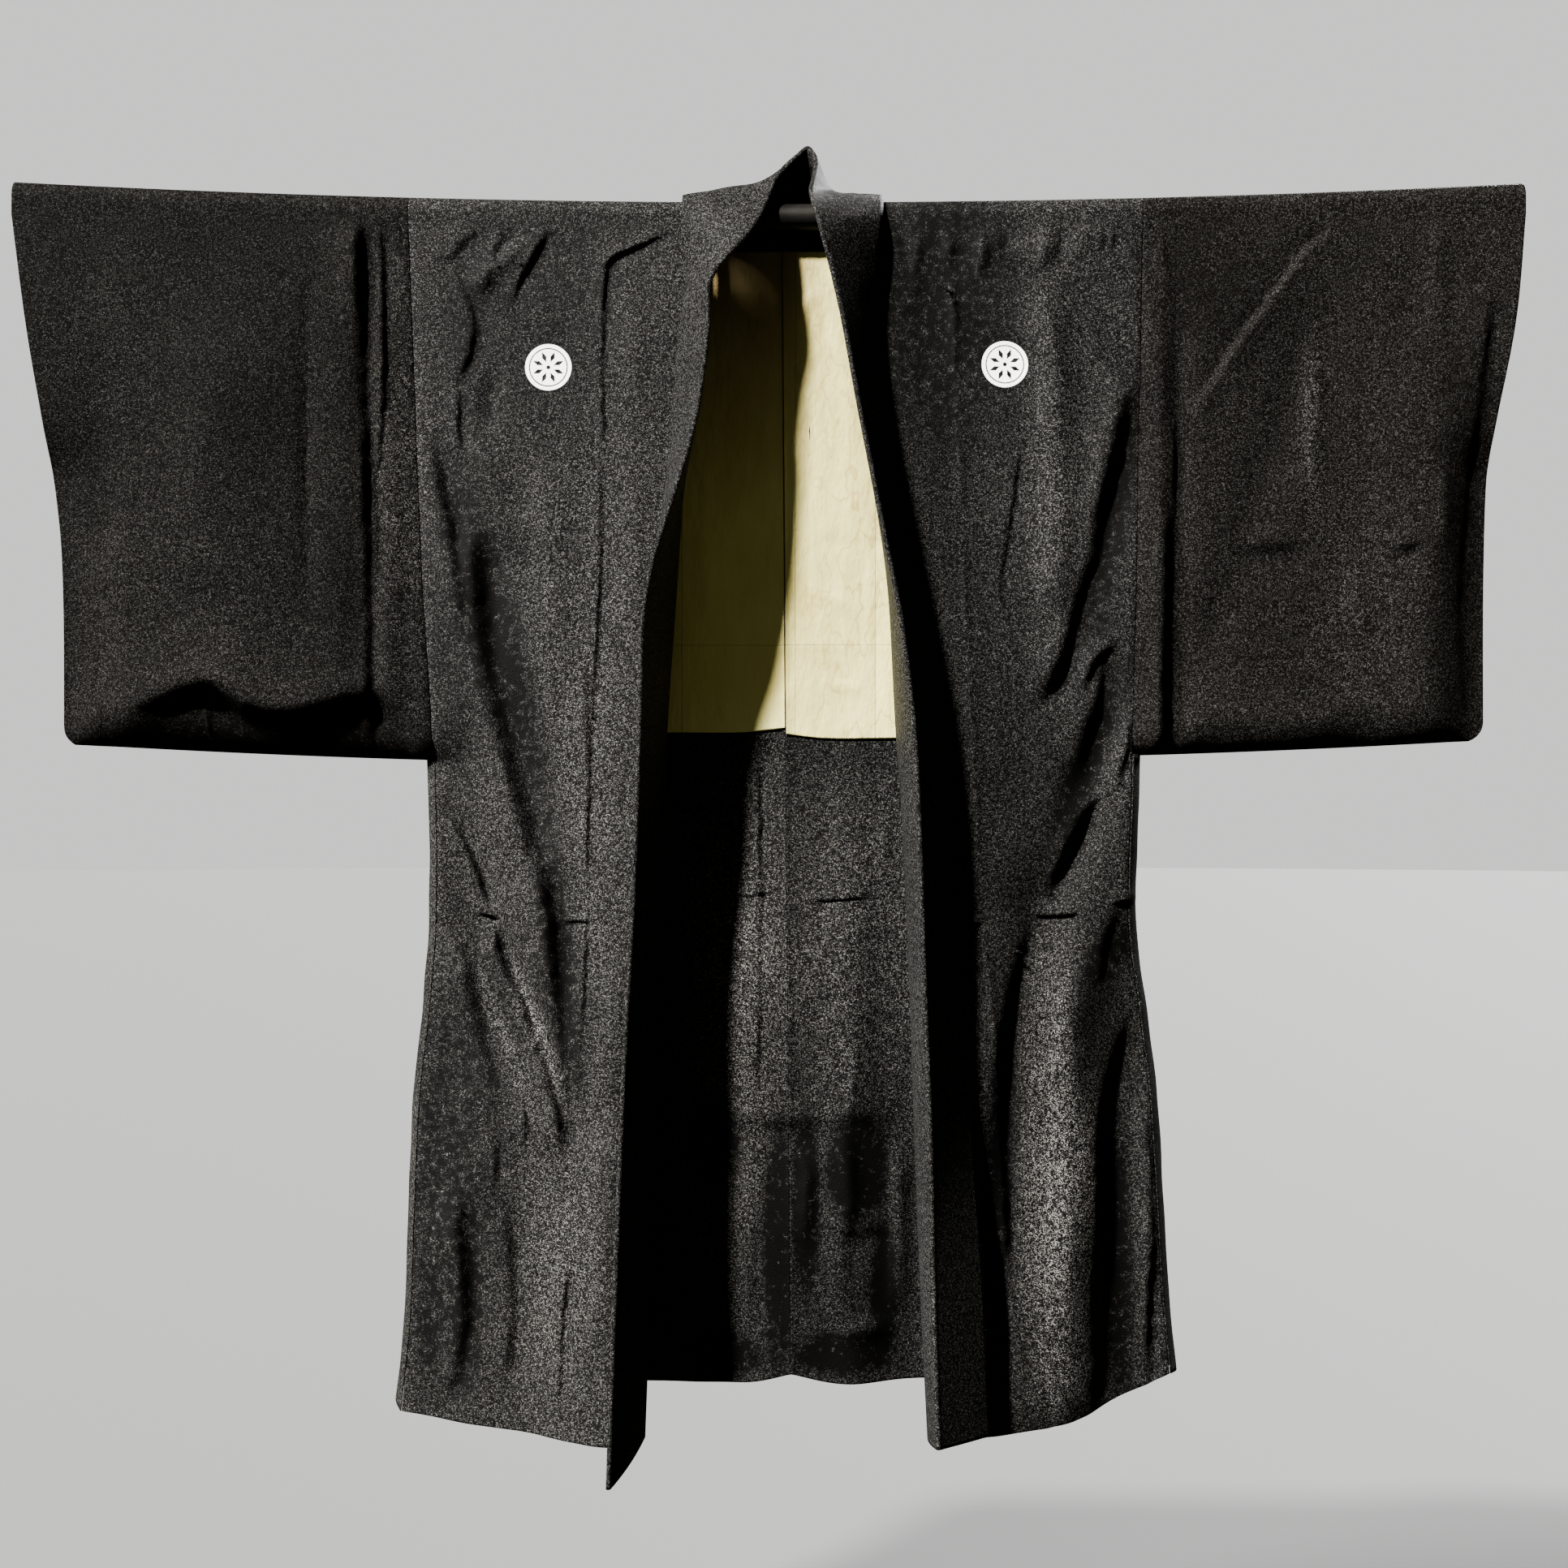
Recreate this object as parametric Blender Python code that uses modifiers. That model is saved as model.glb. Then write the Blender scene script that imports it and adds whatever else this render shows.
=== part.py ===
"""A formal haori jacket hung on a bowed rod, its sleeves straight out to the sides.

Frame: X to the right of someone who faces the open front, Y away from them, Z up.
The origin is the middle of the rod's axis.  Sizes here are in millimetres and
become metres where a mesh is made.

Words used below
    drop    how far down from the rod's axis, measured along Z
    out     how far a wall of the garment hangs in front of or behind the rod's axis
    side    "left" or "right", as seen from the front
    wall    "front" or "back"
"""

import math
from collections import namedtuple

import bpy
from mathutils import Vector

# ---------------------------------------------------------------- driving sizes

MM = 0.001

CLOTH = 1.5
COLLAR_CLOTH = 2.0
LINING = 1.0
SEAM_GAP = 0.3

ROD_RADIUS = 11.0
ROD_HALF_LENGTH = 600.0
ROD_SAG = 15.0

DRAPE_RADIUS = ROD_RADIUS + SEAM_GAP + CLOTH / 2

# How far the walls stand off the rod's plane at BODY_DROP, and how late they do.
BODY_DROP = 980.0
FRONT_SPREAD_AT_SIDE = 16.0
FRONT_SPREAD_AT_COLLAR = 56.0
BACK_SPREAD = 18.0
SPREAD_CURVE_AT_SIDE = 1.2
SPREAD_CURVE_AT_COLLAR = 1.3
CENTRE_DRIFT = 8.0

NECK_HALF_WIDTH = 75.5
NECK_DROP = 12.5
NECK_TURN = 0.125  # the share of a front over which its edge leaves the neck's line

COLLAR_HALF_WIDTH = 62.0
COLLAR_FOLD_RADIUS = 2.6
COLLAR_LIFT = 3.0
COLLAR_ROD_SLACK = 2.8
COLLAR_ROD_CLEARANCE = ROD_RADIUS + SEAM_GAP + COLLAR_CLOTH / 2 + COLLAR_ROD_SLACK
COLLAR_FRONT_BELLY = (-4, -2, 0)
COLLAR_FOOT_CURVE = 8  # how suddenly the collar's foot drops below its last rows

GUSSET_BULGE = 8.0
GUSSET_TOP_GAP = 0.8

LINING_TOP = 22.0
LINING_FOOT = 423.0
LINING_TOP_ROW = 1

SLEEVE_DEPTH = {"left": 450.0, "right": 446.0}
SLEEVE_CORNER = 16.0
SLEEVE_FOOT_START = LINING_FOOT
SLEEVE_ARMHOLE_SHARE = 0.35  # the shares of a sleeve that take the armhole's form,
SLEEVE_CUFF_SHARE = 0.3  # the cuff's form,
SLEEVE_FOOT_SHARE = 0.25  # and a foot as shallow as the armhole's
CUFF_OPENING = 215.0
CUFF_SEAM_FADE = 60.0
CUFF_HALF_SLIT = 1.1
FOOT_HEIGHT = 1.2

SIGN = {"left": -1.0, "right": 1.0}

BLACK_SILK = (0.022, 0.021, 0.021, 1.0)
CREAM_SILK = (0.86, 0.80, 0.58, 1.0)
BLACK_LACQUER = (0.012, 0.011, 0.011, 1.0)
SILK_ROUGHNESS = 0.7
LACQUER_ROUGHNESS = 0.35

# ---------------------------------------------------------------- short tables

# Where the side seams, and the armhole seams above them, lie from the centre.
SideRow = namedtuple("SideRow", "drop left right")
SIDE_SEAM = (
    SideRow(0, 305.5, 296),
    SideRow(300, 293, 290),
    SideRow(445, 283, 286.5),
    SideRow(575, 281, 283),
    SideRow(650, 286, 292),
    SideRow(720, 294, 300),
    SideRow(820, 298, 306),
    SideRow(900, 301, 311),
    SideRow(980, 309, 319),
)

# Where the collar is sewn to each front, from the centre.
COLLAR_SEAM = (
    SideRow(0, 73.5, 73.5),
    SideRow(100, 75, 76),
    SideRow(200, 79, 81),
    SideRow(300, 85, 87),
    SideRow(424, 93, 93),
    SideRow(550, 97, 101),
    SideRow(690, 101, 105),
    SideRow(860, 105, 111),
    SideRow(985, 109, 117),
)

# The sleeve's outer edge, from the centre.
CUFF_EDGE = (
    SideRow(0, 630, 609),
    SideRow(90, 617, 599),
    SideRow(190, 602, 582),
    SideRow(280, 592, 577.5),
    SideRow(450, 590, 577),
)

# Half the space between a sleeve's walls, midway along it and at the cuff's mouth.
FullnessRow = namedtuple("FullnessRow", "drop left right mouth")
SLEEVE_FULLNESS = (
    FullnessRow(0, DRAPE_RADIUS, DRAPE_RADIUS, DRAPE_RADIUS),
    FullnessRow(90, 14, 14, 17),
    FullnessRow(170, 15, 15, 12),
    FullnessRow(CUFF_OPENING, 16, 15, CUFF_HALF_SLIT),
    FullnessRow(330, 20, 16, CUFF_HALF_SLIT),
    FullnessRow(450, 27, 18, CUFF_HALF_SLIT),
)

# How far down the hems hang; across runs from the collar or centre seam to the side.
HemRow = namedtuple("HemRow", "across left_front right_front left_back right_back")
HEMS = (
    HemRow(0.0, 985, 987, 949, 949),
    HemRow(0.12, 994, 987, 957, 957),
    HemRow(0.3, 992, 986, 958, 957),
    HemRow(0.55, 986, 979, 959, 956),
    HemRow(0.8, 980, 962, 961, 953),
    HemRow(1.0, 975, 945, 962, 950),
)

# The collar down each front: its fold and its free edge, from the centre.
BandRow = namedtuple("BandRow", "drop fold edge")
LEFT_BAND = (
    BandRow(978, 134, 128),
    BandRow(864, 130, 125),
    BandRow(686, 123, 120),
    BandRow(551, 116, 116),
    BandRow(424, 112, 113),
    BandRow(340, 110, 112),
    BandRow(291, 102, 106.5),
    BandRow(237, 85, 96),
    BandRow(178, 68, 90.5),
    BandRow(107, 58, 85),
    BandRow(68, 57, 80),
)
RIGHT_BAND = (
    BandRow(96, 48.5, 81.5),
    BandRow(163, 60.6, 88.5),
    BandRow(213, 70.2, 95.5),
    BandRow(262, 79.6, 103.8),
    BandRow(318, 90.9, 116),
    BandRow(357, 97, 125),
    BandRow(425, 104.4, 134.4),
    BandRow(498, 107.9, 138.5),
    BandRow(632, 111.9, 144.6),
    BandRow(737, 115.5, 151.8),
    BandRow(864, 117.6, 160.3),
    BandRow(975, 120.8, 164.6),
)

# How much lower than its row each line of the collar ends at the hem.
FootRow = namedtuple("FootRow", "seam fold edge")
COLLAR_FEET = {"left": FootRow(7, 33, 22), "right": FootRow(10, 4, 5)}

# The collar round the neck, from the left front over the back to the right front.
# The belly pushes the middle of the inner half off a straight line, and the crown
# lifts the outer half above it where the collar has turned over towards the front.
NeckRow = namedtuple("NeckRow", "seam fold edge belly crown")
NECK = (
    NeckRow((-74, -12.3, -38), (-43, -62, -45), (-79, -22, -38), (2, -2, 0), (0, 0, 0)),
    NeckRow((-73.5, -12.3, -9), (-27, -50, -25), (-81, -23, -8), (2, -4, 4), (0, 0, 0)),
    NeckRow((-73, -3, 12.5), (-16, -31, -4), (-81, -5, 17), (0, 4, 12), (0, 0, 1)),
    NeckRow((-71.5, 14, 0), (-9, -18, 16), (-80, 20, 8), (0, 20, 22), (0, 0, 3)),
    NeckRow((-52, 12.3, -11), (-3, -12, 31), (-64, 26, -18), (0, 22, 16), (0, 3, 7)),
    NeckRow((-32, 12.3, -11), (5, -9, 42), (-38, 28, -28), (0, 18, 8), (0, 4, 6)),
    NeckRow((-12, 12.3, -11), (14, -7, 51), (-12, 29, -30), (0, 16, 6), (0, 2, 2)),
    NeckRow((10, 12.3, -11), (22, -6, 57), (18, 29, -24), (0, 14, 4), (0, 0, 0)),
    NeckRow((32, 12.3, -11), (28, -14, 45), (42, 28, -18), (4, 18, 8), (0, 0, 0)),
    NeckRow((56, 12.3, -11), (26, -30, 28), (68, 25, -12), (4, 22, 12), (0, 0, 0)),
    NeckRow((71.5, 14, 0), (23, -44, 12), (82, 20, 6), (2, 26, 16), (0, 0, 0)),
    NeckRow((73, -3, 12.5), (26, -57, -4), (83, -5, 17), (0, 6, 8), (0, 0, 0)),
    NeckRow((73.5, -12.3, -10), (31, -64, -24), (82, -23, -10), (-4, -2, 6), (0, 0, 0)),
    NeckRow((74, -12.3, -45), (39, -66, -54), (78, -26, -50), (-4, -2, 0), (0, 0, 0)),
)

# The largest folds: a line down a wall from its head to its foot, then the fold's
# half width and its height, which is below nought for a trough.
Fold = namedtuple("Fold", "wall head_x head_drop foot_x foot_drop width height")
FOLDS = (
    Fold("front", -342, 20, -341, 430, 13, -5),
    Fold("front", -325, 30, -322, 430, 12, 4),
    Fold("front", -440, 60, -452, 400, 45, 5),
    Fold("front", 310, 60, 309, 440, 10, 3),
    Fold("front", 325, 60, 323, 440, 11, -4),
    Fold("front", 452, 60, 345, 360, 22, -3),
    Fold("front", 540, 80, 520, 400, 40, 5),
    Fold("front", -276, 494, -165, 780, 20, -7),
    Fold("front", -235, 470, -140, 760, 26, 6),
    Fold("front", -250, 700, -255, 960, 24, 6),
    Fold("front", -205, 760, -200, 980, 22, -5),
    Fold("front", 277, 395, 213, 562, 22, -8),
    Fold("front", 240, 560, 232, 950, 28, 10),
    Fold("front", 205, 570, 168, 900, 20, -6),
    Fold("front", 290, 560, 275, 940, 20, -7),
    Fold("back", -40, 480, -46, 950, 22, 6),
    Fold("back", 55, 460, 62, 950, 22, -6),
    Fold("back", -185, 300, -205, 950, 32, 7),
    Fold("back", 190, 280, 214, 945, 34, 8),
    Fold("back", -120, 420, -126, 950, 24, -5),
    Fold("back", 130, 520, 140, 950, 24, -5),
    Fold("back", -345, 40, -352, 430, 16, 5),
    Fold("back", 345, 40, 352, 430, 16, 5),
    Fold("back", -470, 60, -462, 400, 34, 5),
    Fold("back", 470, 60, 462, 400, 34, 5),
)
FOLD_FADE = 70.0

# ---------------------------------------------------------------- grid densities

BODY_NECK_COLUMNS = 4
BODY_COLUMNS = 14
ROWS_ABOVE_ARMHOLE_FOOT = 9
ROWS_BELOW_ARMHOLE_FOOT = 9
RIDGE_STEPS = 6
SLEEVE_COLUMNS = 12
FOOT_STEPS = 6
COLLAR_HALF_STEPS = 5
COLLAR_FOLD_STEPS = 4
COLLAR_FRONT_ROW = 46.0
COLLAR_NECK_ROW = 8.0
GUSSET_COLUMNS = 4
ROD_POINTS = 13
ROD_QUARTER_STEPS = 4


# ---------------------------------------------------------------- small helpers

def blend(start, end, amount):
    """The value part of the way from start to end."""
    return start + (end - start) * amount


def ease(amount):
    """Nought to one with flat ends."""
    held = min(max(amount, 0.0), 1.0)
    return held * held * (3.0 - 2.0 * held)


def read(rows, at, column):
    """A table's column at a place along its first column, on a smooth curve."""
    keys = [row[0] for row in rows]
    values = [getattr(row, column) for row in rows]
    if at <= keys[0]:
        return values[0]
    if at >= keys[-1]:
        return values[-1]
    last = len(rows) - 1
    span = max(i for i in range(last) if keys[i] <= at)

    def slope(i):
        before, after = max(i - 1, 0), min(i + 1, last)
        return (values[after] - values[before]) / (keys[after] - keys[before])

    width = keys[span + 1] - keys[span]
    t = (at - keys[span]) / width
    rise_in = slope(span) * width
    rise_out = slope(span + 1) * width
    return (
        values[span] * (2 * t**3 - 3 * t**2 + 1)
        + values[span + 1] * (3 * t**2 - 2 * t**3)
        + rise_in * (t**3 - 2 * t**2 + t)
        + rise_out * (t**3 - t**2)
    )


def finish(name, colour, roughness):
    """A plain material for one piece."""
    material = bpy.data.materials.new(name)
    material.use_nodes = True
    shader = material.node_tree.nodes["Principled BSDF"]
    shader.inputs["Base Color"].default_value = colour
    shader.inputs["Roughness"].default_value = roughness
    shader.inputs["Metallic"].default_value = 0.0
    return material


def cloth(name, grid, thickness, colour, closed=False):
    """A piece of cloth: a grid of points, skinned and thickened evenly both ways.

    A place in the grid may be None where the cloth is cut away.  A closed grid
    joins the end of each row to its start.
    """
    points = []
    numbers = {}
    for i, row in enumerate(grid):
        for j, point in enumerate(row):
            if point is not None:
                numbers[i, j] = len(points)
                points.append(Vector(point) * MM)
    across = len(grid[0])
    cells = across if closed else across - 1
    faces = []
    for i in range(len(grid) - 1):
        for j in range(cells):
            after = (j + 1) % across
            corners = ((i, j), (i, after), (i + 1, after), (i + 1, j))
            if all(corner in numbers for corner in corners):
                faces.append([numbers[corner] for corner in corners])
    mesh = bpy.data.meshes.new(name)
    mesh.from_pydata(points, [], faces)
    mesh.shade_smooth()
    piece = bpy.data.objects.new(name, mesh)
    garment.objects.link(piece)
    mesh.materials.append(finish(name, colour, SILK_ROUGHNESS))
    wall = piece.modifiers.new("Thickness", "SOLIDIFY")
    wall.thickness = thickness * MM
    wall.offset = 0.0
    wall.use_even_offset = True
    return piece


# ---------------------------------------------------------------- the hang of the cloth

def rod_rise(x):
    """How high the bowed rod's axis is, above its middle."""
    return ROD_SAG * (x / ROD_HALF_LENGTH) ** 2


def shoulder(side):
    """How far from the centre the side seam crosses the rod."""
    return getattr(SIDE_SEAM[0], side)


def hem_at_side(side, wall):
    """How far down a wall's hem hangs at the side seam."""
    return getattr(HEMS[-1], side + "_" + wall)


def folds(wall, x, drop):
    """How far the folds push a wall out at a place on it."""
    push = 0.0
    for fold in FOLDS:
        if fold.wall != wall:
            continue
        along = (drop - fold.head_drop) / (fold.foot_drop - fold.head_drop)
        line = blend(fold.head_x, fold.foot_x, min(max(along, 0.0), 1.0))
        fade_in = ease((drop - fold.head_drop + FOLD_FADE) / (2 * FOLD_FADE))
        fade_out = ease((fold.foot_drop + FOLD_FADE - drop) / FOLD_FADE)
        push += fold.height * fade_in * fade_out * math.exp(-(((x - line) / fold.width) ** 2))
    return push * ease(drop / (2 * FOLD_FADE))


def plain_out(side, wall, x, drop):
    """How far out a wall of the body hangs, before its folds."""
    down = max(drop, 0.0) / BODY_DROP
    if wall == "back":
        return DRAPE_RADIUS + BACK_SPREAD * down
    seam = read(COLLAR_SEAM, drop, side)
    edge = read(SIDE_SEAM, drop, side)
    across = ease((abs(x) - seam) / (edge - seam))
    at_collar = FRONT_SPREAD_AT_COLLAR * down**SPREAD_CURVE_AT_COLLAR
    at_side = FRONT_SPREAD_AT_SIDE * down**SPREAD_CURVE_AT_SIDE
    return DRAPE_RADIUS + blend(at_collar, at_side, across)


def body_out(side, wall, x, drop):
    """How far out a wall of the body hangs, with its folds."""
    return plain_out(side, wall, x, drop) + folds(wall, x, drop)


def on_wall(wall, x, out, drop):
    """The point on a wall at an x, an out and a drop."""
    return (x, -out if wall == "front" else out, -drop)


def on_ridge(x, turn):
    """The point where the cloth bends over the rod; turn runs from front to back."""
    angle = blend(-math.pi / 2, math.pi / 2, turn)
    return (x, DRAPE_RADIUS * math.sin(angle), rod_rise(x) + DRAPE_RADIUS * math.cos(angle))


# ---------------------------------------------------------------- the pieces

def collar_clearance(side, drop):
    """How far a front's edge stays from the collar's seam line, across the wall."""
    band = LEFT_BAND if side == "left" else RIGHT_BAND
    rows = sorted(band)
    lean = read(rows, drop, "fold") - read(COLLAR_SEAM, drop, side)
    reach = math.sqrt(COLLAR_HALF_WIDTH**2 - lean**2)
    tilt = math.atan2(abs(lean), reach)
    return SEAM_GAP + COLLAR_CLOTH / 2 / math.cos(tilt) + CLOTH / 2 * math.tan(tilt)


def gusset_top(side):
    """How far down the gusset starts, just clear of the sleeve's foot."""
    return SLEEVE_DEPTH[side] - rod_rise(shoulder(side)) + CLOTH / 2 + GUSSET_TOP_GAP


def body_rows(side, wall):
    """How far down a wall each row lies, from the rod at nought to the hem at one.

    The rows fall where the sleeve's foot, the lining's foot and the gusset start.
    """
    rise = rod_rise(shoulder(side))
    hem = hem_at_side(side, wall)
    first = NECK_DROP / HEMS[0].left_back if wall == "back" else 0.0
    armhole = (SLEEVE_FOOT_START + rise) / (hem + rise)
    under_sleeve = (gusset_top(side) + rise) / (hem + rise)
    under_neck = (LINING_TOP + rise) / (hem + rise)
    steps = ROWS_ABOVE_ARMHOLE_FOOT - 1
    above = [blend(under_neck, armhole, i / steps) for i in range(steps + 1)]
    steps = ROWS_BELOW_ARMHOLE_FOOT
    below = [blend(under_sleeve, 1.0, i / steps) for i in range(steps + 1)]
    return [first] + above + below


def body_drop(side, wall, column, down):
    """The drop of a place on a body length."""
    rest_x = body_rest_x(side, column)
    across = rest_x / shoulder(side) if wall == "back" else column / BODY_COLUMNS
    return blend(-rod_rise(rest_x), read(HEMS, across, side + "_" + wall), down)


def body_rest_x(side, column):
    """How far from the centre a column crosses the rod.

    Columns below nought lie between the centre seam and the neck, on the back only.
    """
    if column < 0:
        return NECK_HALF_WIDTH * (1 + column / BODY_NECK_COLUMNS)
    return blend(NECK_HALF_WIDTH, shoulder(side), column / BODY_COLUMNS)


def body_point(side, wall, column, down, inward=0.0):
    """A point of a body length, or one that lies inward of it by some millimetres."""
    sign = SIGN[side]
    drop = body_drop(side, wall, column, down)
    edge = read(SIDE_SEAM, drop, side)
    if wall == "back":
        start = SEAM_GAP / 2 + sign * CENTRE_DRIFT * max(drop, 0) / BODY_DROP
        x = sign * blend(start, edge, body_rest_x(side, column) / shoulder(side))
    else:
        start = read(COLLAR_SEAM, drop, side) + collar_clearance(side, drop)
        start = blend(NECK_HALF_WIDTH, start, ease(down / NECK_TURN))
        x = sign * blend(start, edge, column / BODY_COLUMNS)
    return on_wall(wall, x, body_out(side, wall, x, drop) - inward, drop)


def body(side):
    """One length of the body: front hem, over the rod at the shoulder, back hem."""
    columns = range(-BODY_NECK_COLUMNS, BODY_COLUMNS + 1)
    grid = []
    for down in reversed(body_rows(side, "front")[1:]):
        grid.append([body_point(side, "front", c, down) if c >= 0 else None for c in columns])
    for i in range(RIDGE_STEPS + 1):
        row = []
        for c in columns:
            x = SIGN[side] * body_rest_x(side, c)
            row.append(on_ridge(x, i / RIDGE_STEPS) if c >= 0 else None)
        grid.append(row)
    for down in body_rows(side, "back"):
        grid.append([body_point(side, "back", c, down) for c in columns])
    return cloth("body_" + side, grid, CLOTH, BLACK_SILK)


def lining(side):
    """Half of the lining: the back's own points, moved in, down to the lining's hem."""
    columns = range(-BODY_NECK_COLUMNS, BODY_COLUMNS)
    stand_off = CLOTH / 2 + SEAM_GAP + LINING / 2
    grid = []
    for down in body_rows(side, "back")[LINING_TOP_ROW : ROWS_ABOVE_ARMHOLE_FOOT + 1]:
        grid.append([body_point(side, "back", c, down, stand_off) for c in columns])
    return cloth("lining_" + side, grid, LINING, CREAM_SILK)


def sleeve_out(side, wall, along, x, drop):
    """How far out a sleeve's wall hangs; along runs from the armhole to the cuff."""
    near_body = 1 - ease(along / SLEEVE_ARMHOLE_SHARE)
    near_cuff = ease(1 + (along - 1) / SLEEVE_CUFF_SHARE)
    at_body = plain_out(side, wall, read(SIDE_SEAM, drop, side), drop)
    midway = read(SLEEVE_FULLNESS, drop, side)
    at_cuff = max(read(SLEEVE_FULLNESS, drop, "mouth"), CUFF_HALF_SLIT)
    sewn = ease(1 + (drop - CUFF_OPENING) / CUFF_SEAM_FADE) * near_cuff
    plain = at_body * near_body + at_cuff * near_cuff + midway * (1 - near_body - near_cuff)
    return plain + folds(wall, x, drop) * (1 - sewn)


def sleeve_x(side, along, drop):
    """How far from the centre a place on a sleeve is."""
    lowest = SLEEVE_DEPTH[side] - ROD_SAG
    armhole = read(SIDE_SEAM, drop, side) + SEAM_GAP
    cuff = read(CUFF_EDGE, drop, side)
    into_corner = min(max(drop - lowest + SLEEVE_CORNER, 0.0), SLEEVE_CORNER)
    cuff -= SLEEVE_CORNER - math.sqrt(SLEEVE_CORNER**2 - into_corner**2)
    return SIGN[side] * blend(armhole, cuff, along)


def sleeve_ring(side, along):
    """One ring of a sleeve: over the rod, down the back, round the foot, up the front."""
    top_x = sleeve_x(side, along, 0)
    rise = rod_rise(top_x)
    lowest = SLEEVE_DEPTH[side] - rise
    narrowest = min(
        sleeve_out(side, wall, along, sleeve_x(side, along, SLEEVE_FOOT_START), SLEEVE_FOOT_START)
        for wall in ("front", "back")
    )
    at_armhole = lowest - SLEEVE_FOOT_START
    height = blend(at_armhole, FOOT_HEIGHT * narrowest, ease(along / SLEEVE_FOOT_SHARE))

    def wall_point(wall, down):
        drop = blend(-rise, lowest - height, down)
        x = sleeve_x(side, along, drop)
        return on_wall(wall, x, sleeve_out(side, wall, along, x, drop), drop)

    def downs(wall):
        rows = body_rows(side, wall)[: ROWS_ABOVE_ARMHOLE_FOOT + 1]
        return [row / rows[-1] for row in rows]

    ring = [on_ridge(top_x, i / RIDGE_STEPS) for i in range(RIDGE_STEPS + 1)]
    ring += [wall_point("back", down) for down in downs("back")[:-1]]
    low_back = wall_point("back", 1.0)
    low_front = wall_point("front", 1.0)
    middle = (low_back[1] + low_front[1]) / 2
    radius = (low_back[1] - low_front[1]) / 2
    for i in range(FOOT_STEPS + 1):
        angle = math.pi * i / FOOT_STEPS
        drop = lowest - height + height * math.sin(angle)
        x = sleeve_x(side, along, drop)
        ring.append((x, middle + radius * math.cos(angle), -drop))
    ring += [wall_point("front", down) for down in reversed(downs("front")[1:-1])]
    return ring


def sleeve(side):
    """A sleeve: a flat tube along the rod, open to the body and at the cuff's mouth."""
    grid = []
    for i in range(SLEEVE_COLUMNS + 1):
        grid.append(sleeve_ring(side, i / SLEEVE_COLUMNS))
    return cloth("sleeve_" + side, grid, CLOTH, BLACK_SILK, closed=True)


def gusset(side):
    """The strip between front and back, from under the sleeve to the hem."""
    sign = SIGN[side]
    front_rows, back_rows = (
        body_rows(side, wall)[ROWS_ABOVE_ARMHOLE_FOOT + 1 :] for wall in ("front", "back")
    )
    grid = []
    for front_down, back_down in zip(front_rows, back_rows):
        front = body_point(side, "front", BODY_COLUMNS, front_down)
        back = body_point(side, "back", BODY_COLUMNS, back_down)
        row = []
        for j in range(GUSSET_COLUMNS + 1):
            through = j / GUSSET_COLUMNS
            swell = SEAM_GAP + CLOTH / 2 + GUSSET_BULGE * math.sin(math.pi * through)
            point = Vector(front).lerp(Vector(back), through)
            past = math.copysign(CLOTH / 2, through - 0.5) if through in (0.0, 1.0) else 0.0
            row.append(point + Vector((sign * swell, past, 0)))
        grid.append(row)
    return cloth("gusset_" + side, grid, CLOTH, BLACK_SILK)


def front_band_row(side, row):
    """One row of the collar on a front, in the same terms as the rows at the neck."""
    sign = SIGN[side]
    foot_row = max(LEFT_BAND[0].drop, RIGHT_BAND[-1].drop)
    near_foot = (row.drop / foot_row) ** COLLAR_FOOT_CURVE
    feet = COLLAR_FEET[side]
    seam_x = sign * read(COLLAR_SEAM, row.drop, side)
    fold_x = sign * row.fold
    edge_x = sign * row.edge
    seam_out = body_out(side, "front", seam_x, row.drop)
    fold_out = seam_out + math.sqrt(COLLAR_HALF_WIDTH**2 - (fold_x - seam_x) ** 2)
    back_reach = math.sqrt(COLLAR_HALF_WIDTH**2 - (edge_x - fold_x) ** 2)
    resting = body_out(side, "front", edge_x, row.drop) + CLOTH + COLLAR_CLOTH + COLLAR_LIFT
    edge_out = max(fold_out - back_reach, resting)
    return NeckRow(
        (seam_x, -seam_out, -row.drop - feet.seam * near_foot),
        (fold_x, -fold_out, -row.drop - feet.fold * near_foot),
        (edge_x, -edge_out, -row.drop - feet.edge * near_foot),
        (sign * COLLAR_FRONT_BELLY[0], *COLLAR_FRONT_BELLY[1:]),
        (0, 0, 0),
    )


def spline(rows, column, span, t):
    """A column of points at t between two rows, on a curve through all the rows."""
    last = len(rows) - 1
    near = [Vector(getattr(rows[min(max(span + k, 0), last)], column)) for k in (-1, 0, 1, 2)]
    before, start, end, after = near
    return (
        start * (2 * t**3 - 3 * t**2 + 1)
        + end * (3 * t**2 - 2 * t**3)
        + (end - before) / 2 * (t**3 - 2 * t**2 + t)
        + (after - start) / 2 * (t**3 - t**2)
    )


def clear_of_rod(point):
    """The point, pushed straight out of the rod if it is in the collar's way there."""
    across = Vector((0, point.y, point.z - rod_rise(point.x)))
    if across.length >= COLLAR_ROD_CLEARANCE:
        return point
    return point + across.normalized() * (COLLAR_ROD_CLEARANCE - across.length)


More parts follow.
